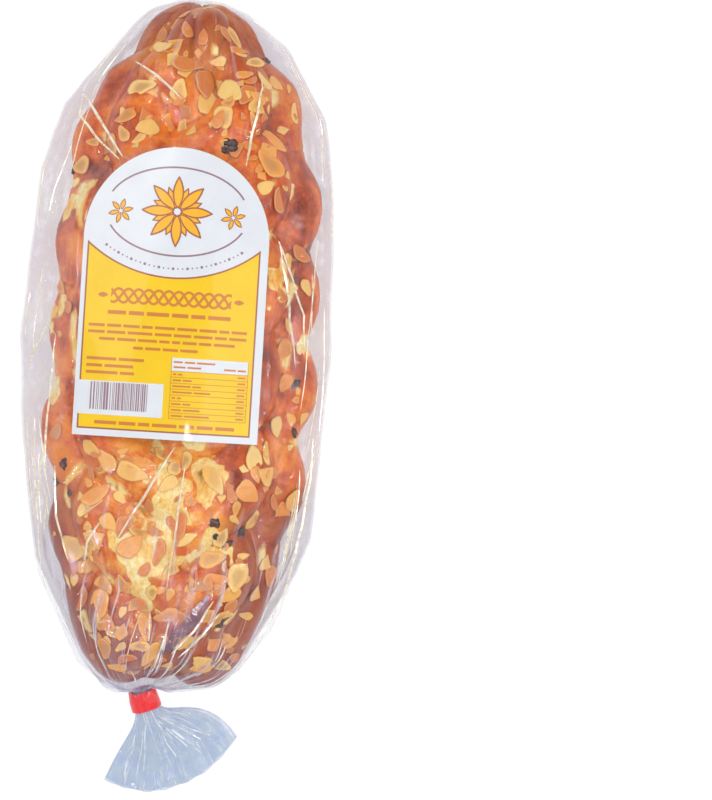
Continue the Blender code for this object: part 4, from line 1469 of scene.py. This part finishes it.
def make_tape(finish):
    """The band of tape round the neck: a little wider at its lower edge, with its end lapped over."""
    along, _, _ = neck_frame()
    middle = (NECK_START + NECK_FINISH) / 2
    angles = np.linspace(0, 2 * math.pi, TAPE_SIDES, endpoint=False)
    lap = 0.35 * MM * smooth_step(angles, math.radians(112), math.radians(4))
    lap = lap * (1 - smooth_step(angles, math.radians(250), math.radians(60)))
    ridges = sum(0.3 * MM * np.exp(-(((angles - at) / 0.06) ** 2)) for at in (1.15, 1.95))
    steps = 14
    rows = []
    for wall in (1, 0):
        for k in range(steps + 1):
            share = k / steps if wall else 1 - k / steps
            centre = middle + along * TAPE_WIDTH * (share - 0.5)
            at = (centre - NECK_START).length / (NECK_FINISH - NECK_START).length
            bulge = 0.25 * MM * math.sin(math.pi * share)
            clear = TAPE_GAP + wall * (TAPE_THICKNESS + bulge)
            wide = neck_half_width(at) * (1 + GATHER_DEPTH) + clear
            deep = NECK_HALF_DEPTH * (1 + GATHER_DEPTH) + clear
            ring = neck_ring(centre, wide, deep, angles, 0)
            out = ring - np.array(centre)
            out = out / np.linalg.norm(out, axis=1)[:, None]
            crimp = 0.14 * MM * noise_field(ring, 2.4 * MM, 51) + lap + ridges
            rows.append(ring + out * (crimp * wall)[:, None])
    faces = grid_faces(len(rows), TAPE_SIDES)
    last = (len(rows) - 1) * TAPE_SIDES
    for j in range(TAPE_SIDES):
        k = (j + 1) % TAPE_SIDES
        faces.append((last + j, j, k, last + k))
    tape = mesh_object("tape_band", np.concatenate(rows), faces)
    tape.data.set_sharp_from_angle(angle=math.radians(40))
    tape.data.materials.append(finish)
    return tape


class Finish(Wiring):
    """A material whose looks are written as plain arithmetic on the fields of its node tree."""

    def __init__(self, name):
        self.material = bpy.data.materials.new(name)
        self.material.use_nodes = True
        self.material.node_tree.nodes.clear()
        super().__init__(self.material.node_tree)
        self.place = self.node("ShaderNodeTexCoord", "Object")

    def speckle(self, size, detail=4.0, roughness=0.55, place=None):
        """Noise whose features are about the given size."""
        links = {"Vector": place or self.place, "Scale": 1 / size, "Detail": detail, "Roughness": roughness}
        return self.node("ShaderNodeTexNoise", 0, links)

    def held(self, name):
        """A field stored on the piece."""
        return self.node("ShaderNodeAttribute", "Fac", attribute_name=name)

    def blend(self, share, first, second, **settings):
        """A mix of two colours by a share."""
        first, second = ((*c, 1) if isinstance(c, tuple) else c for c in (first, second))
        return self.node("ShaderNodeMix", 2, {0: share, 6: first, 7: second}, data_type="RGBA", **settings)

    def raised(self, height, distance, strength):
        """A bump from a height field."""
        return self.node("ShaderNodeBump", 0, {"Height": height, "Distance": distance, "Strength": strength})

    def shader(self, kind, **inputs):
        """One plain shader."""
        return self.node("ShaderNodeBsdf" + kind, 0, inputs)

    def mixed(self, share, first, second):
        """Two shaders mixed by a share."""
        return self.node("ShaderNodeMixShader", 0, {0: share, 1: first, 2: second})

    def surface(self, shader):
        """Ends the tree with its surface, and gives back the material."""
        self.node("ShaderNodeOutputMaterial", 0, {"Surface": shader})
        return self.material

    def solid(self, links):
        """Ends the tree with an opaque surface."""
        return self.surface(self.node("ShaderNodeBsdfPrincipled", 0, links))


def crust_finish():
    """Egg-washed crust: red-brown and orange, darker at the ends, pale where the dough tore, with painted
    shade in the grooves between the strands.
    """
    skin = Finish("glazed_crust")
    mottled = skin.speckle(12 * MM, 6.0, 0.66)
    fine = skin.speckle(1.3 * MM, 5.0, 0.6)
    crown = skin.held("crown")
    tone = 0.5 * skin.speckle(34 * MM, 3.0) + 0.5 * mottled
    tone = (tone + 0.05) * (1.0 - 0.3 * crown) + 0.145 * crown
    baked = tone.ramp(
        (0.42, (0.19, 0.026, 0.008)), (0.475, (0.47, 0.070, 0.013)), (0.53, (0.72, 0.128, 0.017)),
        (0.60, (0.93, 0.28, 0.032)),
    )
    baked = skin.blend(skin.held("bake").ramp((0.38, 0.0), (1.0, 0.75)), baked, (0.30, 0.056, 0.012))
    # Painted shade: the crust is darkened in the grooves where the strands meet.
    baked = skin.blend(skin.held("seam").ramp((0.35, 0.0), (1.0, 0.55)), baked, (0.26, 0.045, 0.014))
    glow = mottled.ramp((0.42, (0.74, 0.15, 0.02)), (0.50, (0.90, 0.31, 0.042)), (0.60, (0.97, 0.54, 0.12)))
    baked = skin.blend(0.75 * skin.held("golden"), baked, glow)

    bared = skin.held("opened").most(skin.held("torn"))
    pale_share = (bared + 0.5 * mottled).ramp((0.56, 0.0), (0.84, 1.0))
    drawn_out = skin.node("ShaderNodeMapping", 0, {"Vector": skin.place, "Scale": (1.0, 0.2, 1.0)})
    fibres = skin.speckle(1.6 * MM, 4.0, 0.6, drawn_out)
    pale = (0.6 * mottled + 0.4 * fibres).ramp(
        (0.38, (0.90, 0.38, 0.05)), (0.46, (0.96, 0.62, 0.17)), (0.54, (0.98, 0.78, 0.34)),
        (0.66, (0.99, 0.89, 0.55)),
    )
    colour = skin.blend(pale_share, baked, pale)
    specks = fine.ramp((0.34, (0.72, 0.66, 0.62)), (0.54, (1.0, 1.0, 1.0)), (0.66, (1.0, 1.0, 1.0)))
    return skin.solid({
        "Base Color": skin.blend(0.42, colour, specks, blend_type="MULTIPLY"),
        "Roughness": (fine + pale_share).ramp((0.3, 0.30), (0.9, 0.42), (1.4, 0.62)),
        "Coat Weight": 0.12, "Coat Roughness": 0.15, "Specular IOR Level": 0.22,
        "Normal": skin.raised(0.8 * mottled + 0.45 * fine, 0.8 * MM, 0.5),
    })


def almond_finish():
    """Flaked almond: ivory to toasted amber, with clearer grey hearts in some, lighter rims and painted shade
    in a thin dark band at the very edge.
    """
    nut = Finish("toasted_almond")
    grain = nut.speckle(2.4 * MM)
    rim = nut.held("rim")
    colour = (nut.held("tone") + 0.35 * grain).ramp(
        (0.15, (0.91, 0.62, 0.20)), (0.45, (0.89, 0.47, 0.10)), (0.80, (0.86, 0.32, 0.05)),
        (1.0, (0.70, 0.20, 0.03)),
    )
    heart = nut.held("clear").ramp((0.45, 0.0), (0.80, 0.75)) * rim.ramp((0.35, 1.0), (0.75, 0.0))
    colour = nut.blend(heart, colour, (0.54, 0.25, 0.085))
    colour = nut.blend(rim.ramp((0.82, 0.0), (1.0, 0.55)), colour, (0.93, 0.62, 0.26))
    # Painted shade: a thin dark band at each flake's very edge, for the shadow where it meets the crust.
    colour = nut.blend(rim.ramp((0.93, 0.0), (1.0, 0.6)), colour, (0.48, 0.19, 0.05))
    return nut.solid({
        "Base Color": colour, "Roughness": grain.ramp((0.3, 0.35), (0.7, 0.55)),
        "Normal": nut.raised(grain, 0.3 * MM, 0.3),
    })


def raisin_finish():
    """Raisin skin: near-black purple-brown with a dull gloss."""
    skin = Finish("raisin_skin")
    folds = skin.speckle(1.6 * MM)
    return skin.solid({
        "Base Color": folds.ramp(
            (0.36, (0.016, 0.006, 0.005)), (0.52, (0.060, 0.020, 0.012)), (0.66, (0.22, 0.075, 0.03)),
        ),
        "Roughness": folds.ramp((0.3, 0.4), (0.7, 0.6)), "Normal": skin.raised(folds, 0.6 * MM, 0.6),
    })


def drawn_streaks(film, columns, rows):
    """Streaks along the way that the film is drawn, each about this many columns wide and rows long."""
    place = film.node(
        "ShaderNodeCombineXYZ", 0, {0: film.held("across") / columns, 1: film.held("down") / rows, 2: 0.5},
    )
    return film.speckle(1.0, 4.0, 0.62, place)


def film_finish(name, clear_share, haze_share, streak_share, tint, hazes, crinkle_size, crumple_size):
    """Clear film: mostly see-through, milky in streaks where it is drawn to the neck, with painted highlights
    in its thin bright lines and a crisp gloss.
    """
    film = Finish(name)
    crinkles = film.speckle(crinkle_size, 3.0, 0.5)
    wide_streaks = drawn_streaks(film, 7.0, 46.0)
    thin_streaks = drawn_streaks(film, 2.6, 34.0)
    pulled = film.held("drawn")
    crumples = film.node("ShaderNodeTexVoronoi", 0, {"Vector": film.place, "Scale": 1 / crumple_size})
    small = film.speckle(crinkle_size * 0.28, 2.0, 0.5)
    height = crinkles + 0.6 * crumples + 0.25 * small + (wide_streaks + thin_streaks) * pulled
    lie = film.raised(height, 1.0 * MM, 0.6)

    bands = wide_streaks.ramp((0.46, 0.0), (0.64, 0.16))
    lines = thin_streaks.ramp((0.56, 0.0), (0.66, 1.0))
    clouds = (crinkles + wide_streaks).ramp((0.76, 0.60), (1.26, 1.0))
    cover = film.held("slack") * clouds * haze_share
    cover = streak_share * ((bands + lines) * pulled) + cover + clear_share
    haze = film.blend(crinkles.ramp((0.40, 0.0), (0.60, 1.0)), *hazes)
    # Painted highlight: the thin streak lines are whitened towards a bright bluish white, over the milky
    # haze.
    milk_and_painted_highlight = film.blend(lines * pulled, haze, (0.86, 0.88, 1.0))
    clear = film.shader("Transparent", Color=(*tint, 1))
    body = film.mixed(cover, clear, film.shader("Diffuse", Color=milk_and_painted_highlight, Normal=lie))
    facing = film.node("ShaderNodeLayerWeight", "Facing", {"Blend": 0.5, "Normal": lie})
    rim = facing.ramp((0.0, 0.015), (0.55, 0.03), (0.85, 0.11), (1.0, 0.26))
    gloss = film.shader("Anisotropic", Color=WHITE, Roughness=0.05, Normal=lie)
    return film.surface(film.mixed(rim, body, gloss))


def fold_finish():
    """Doubled film in shadow: a smoky violet, see-through, with a crisp gloss."""
    film = Finish("doubled_film")
    waves = film.speckle(4 * MM, 3.0)
    lie = film.raised(waves, 1.0 * MM, 0.5)
    # Painted shade: the doubled film gets a dark violet colour for the shadow in the fold.
    painted_fold_shade = film.shader("Diffuse", Color=(0.26, 0.17, 0.28, 1), Normal=lie)
    clear = film.shader("Transparent", Color=(0.90, 0.85, 0.92, 1))
    body = film.mixed(waves.ramp((0.36, 0.10), (0.64, 0.42)), clear, painted_fold_shade)
    gloss = film.shader("Anisotropic", Color=WHITE, Roughness=0.1, Normal=lie)
    return film.surface(film.mixed(0.08, body, gloss))


def crease_finish():
    """A sharp crease in the film: a thin milky line with a painted highlight in its colour, cream over the
    loaf and bluish white by the neck, and a faint gloss.
    """
    film = Finish("creased_film")
    along = film.node("ShaderNodeSeparateXYZ", 1, {"Vector": film.place})
    # Painted highlight: the crease's colour is a glint's warm cream over the loaf, turning bluish white
    # towards the neck.
    tone = (along / -0.2).ramp(
        (0.62, (0.99, 0.93, 0.72)), (0.72, (0.95, 0.93, 0.95)), (0.84, (0.84, 0.90, 0.98)),
    )
    gloss = film.shader("Anisotropic", Color=WHITE, Roughness=0.2)
    milk_and_painted_highlight = film.mixed(0.15, film.shader("Diffuse", Color=tone), gloss)
    clear = film.shader("Transparent", Color=(0.99, 0.99, 1, 1))
    cover = film.speckle(5 * MM, 3.0).ramp((0.34, 0.25), (0.54, 0.95))
    return film.surface(film.mixed(cover, clear, milk_and_painted_highlight))


def ink_finish(name, colour):
    """Printed paper of one colour, with a faint unevenness in the ink and the paper's own lie."""
    paper = Finish(name)
    patch = paper.speckle(14 * MM, 2.0)
    darker = tuple(0.93 * c for c in colour)
    cast = 0.6 * patch + 0.4 * paper.speckle(0.5 * MM, 2.0)
    return paper.solid({
        "Base Color": cast.ramp((0.35, darker), (0.62, colour)), "Roughness": 0.32,
        "Specular IOR Level": 0.2, "Coat Weight": 0.3, "Coat Roughness": 0.05,
        "Normal": paper.raised(patch, 0.4 * MM, 0.2),
    })


def tape_finish():
    """Glossy red tape with faint stretch lines along it."""
    tape = Finish("red_tape")
    fold = tape.speckle(3 * MM, 3.0)
    return tape.solid({
        "Base Color": fold.ramp((0.35, (0.86, 0.024, 0.030)), (0.62, (1.0, 0.038, 0.044))),
        "Roughness": 0.28, "Coat Weight": 0.4, "Coat Roughness": 0.1,
        "Normal": tape.raised(fold, 0.5 * MM, 0.4),
    })


def add_floor():
    """The white light table that the bag lies on."""
    mesh = bmesh.new()
    bmesh.ops.create_grid(mesh, x_segments=1, y_segments=1, size=3.0)
    table = Finish("pale_table")
    tone = table.speckle(0.4, 2.0).ramp((0.3, (0.19, 0.19, 0.20)), (0.7, (0.20, 0.20, 0.20)))
    finish = table.solid({
        "Base Color": tone, "Roughness": 0.9, "Specular IOR Level": 0.0,
        "Emission Color": WHITE, "Emission Strength": 0.88,
    })
    floor = kept_mesh("table_top", mesh, finish)
    floor.data.transform(Matrix.Translation((0, 0, -0.2 * MM)))


def add_softbox(name, place, target, size, power, colour, lights_up):
    """A rectangular soft light that faces a place. Some only show in the gloss and light nothing up."""
    lamp = bpy.data.lights.new(name, "AREA")
    lamp.shape = "RECTANGLE"
    lamp.size, lamp.size_y = size
    lamp.energy = power
    lamp.color = colour
    thing = put_in_scene(name, lamp)
    thing.visible_diffuse = lights_up
    thing.location = place
    thing.rotation_euler = (Vector(target) - Vector(place)).to_track_quat("-Z", "Y").to_euler()


def add_camera():
    """The camera at the photograph's viewing angle, turned so that the pack stands left of the middle."""
    lens = bpy.data.cameras.new("camera")
    lens.sensor_width = SENSOR
    focal_pixels = (CAMERA_HEIGHT - MIDDLE_HEIGHT) / (MM_PER_PIXEL * MM)
    lens.lens = focal_pixels * SENSOR / FRAME_PIXELS[1]
    camera = put_in_scene("camera", lens)
    bpy.context.scene.camera = camera
    aside = math.atan((FRAME_PIXELS[0] / 2 - PACK_PIXEL_X) / focal_pixels)
    right = Vector((math.cos(PACK_LEAN), math.sin(PACK_LEAN), 0))
    above = Vector((-math.sin(PACK_LEAN), math.cos(PACK_LEAN), 0))
    ahead = math.sin(aside) * right - math.cos(aside) * UP
    across = math.cos(aside) * right + math.sin(aside) * UP
    turn = Matrix((across, above, -ahead)).transposed().to_4x4()
    camera.matrix_world = Matrix.Translation((CAMERA_OVER.x, CAMERA_OVER.y, CAMERA_HEIGHT)) @ turn


def add_studio():
    """Soft white studio light."""
    scene = bpy.context.scene
    scene.world = bpy.data.worlds.new("studio")
    scene.world.use_nodes = True
    background = scene.world.node_tree.nodes["Background"]
    background.inputs["Color"].default_value = (0.96, 0.98, 1.0, 1)
    background.inputs["Strength"].default_value = 0.52
    for softbox in SOFTBOXES:
        add_softbox(*softbox)
    scene.view_settings.view_transform = "Standard"


def main():
    """Makes every piece, joins each to its solid, and lights and frames them."""
    beads = loaf_strands()
    crust = make_crust(beads)
    crust.data.materials.append(crust_finish())
    crust_tree = joined_tree([crust])
    kinds = flake_kinds()
    almond = almond_finish()
    flakes = make_flakes(crust_tree, kinds, almond)
    medium = strew_flakes("medium_flakes", crust, kinds, almond, *MEDIUM_FLAKES)
    broken = strew_flakes("broken_flakes", crust, kinds, almond, *BROKEN_FLAKES)
    drop_kinds(kinds)
    raisins = make_raisins(crust_tree, raisin_finish())

    pole, rows, slack = film_rows(beads, joined_tree([flakes, medium, broken, raisins]))
    label_bottom = flatten_under_label(rows)
    film = make_film(pole, rows, slack, film_finish("clear_film", *CLEAR_FILM))
    fan = make_spare_film(film_finish("gathered_film", *GATHERED_FILM))
    tuck_into_bag(crust, joined_tree([film]))
    film_tree = joined_tree([film, fan])
    creases = make_creases(film_tree, rows, crease_finish())
    fold = make_neck_fold(film_tree, fold_finish())

    sheet = make_label_sheet(label_bottom, ink_finish("label_paper", PAPER_WHITE))
    prints = make_label_print(label_bottom, [ink_finish(name, colour) for name, colour in INKS])
    tape = make_tape(tape_finish())

    for piece in (crust, flakes, medium, broken, raisins, film, fan, creases, fold):
        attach(piece, "root")
        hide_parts("bagged_loaf")
    for piece in (sheet, prints):
        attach(piece, "root")
        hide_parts("label")
    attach(tape, "root")
    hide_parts("neck_tape")

    add_floor()
    add_studio()
    add_camera()


main()
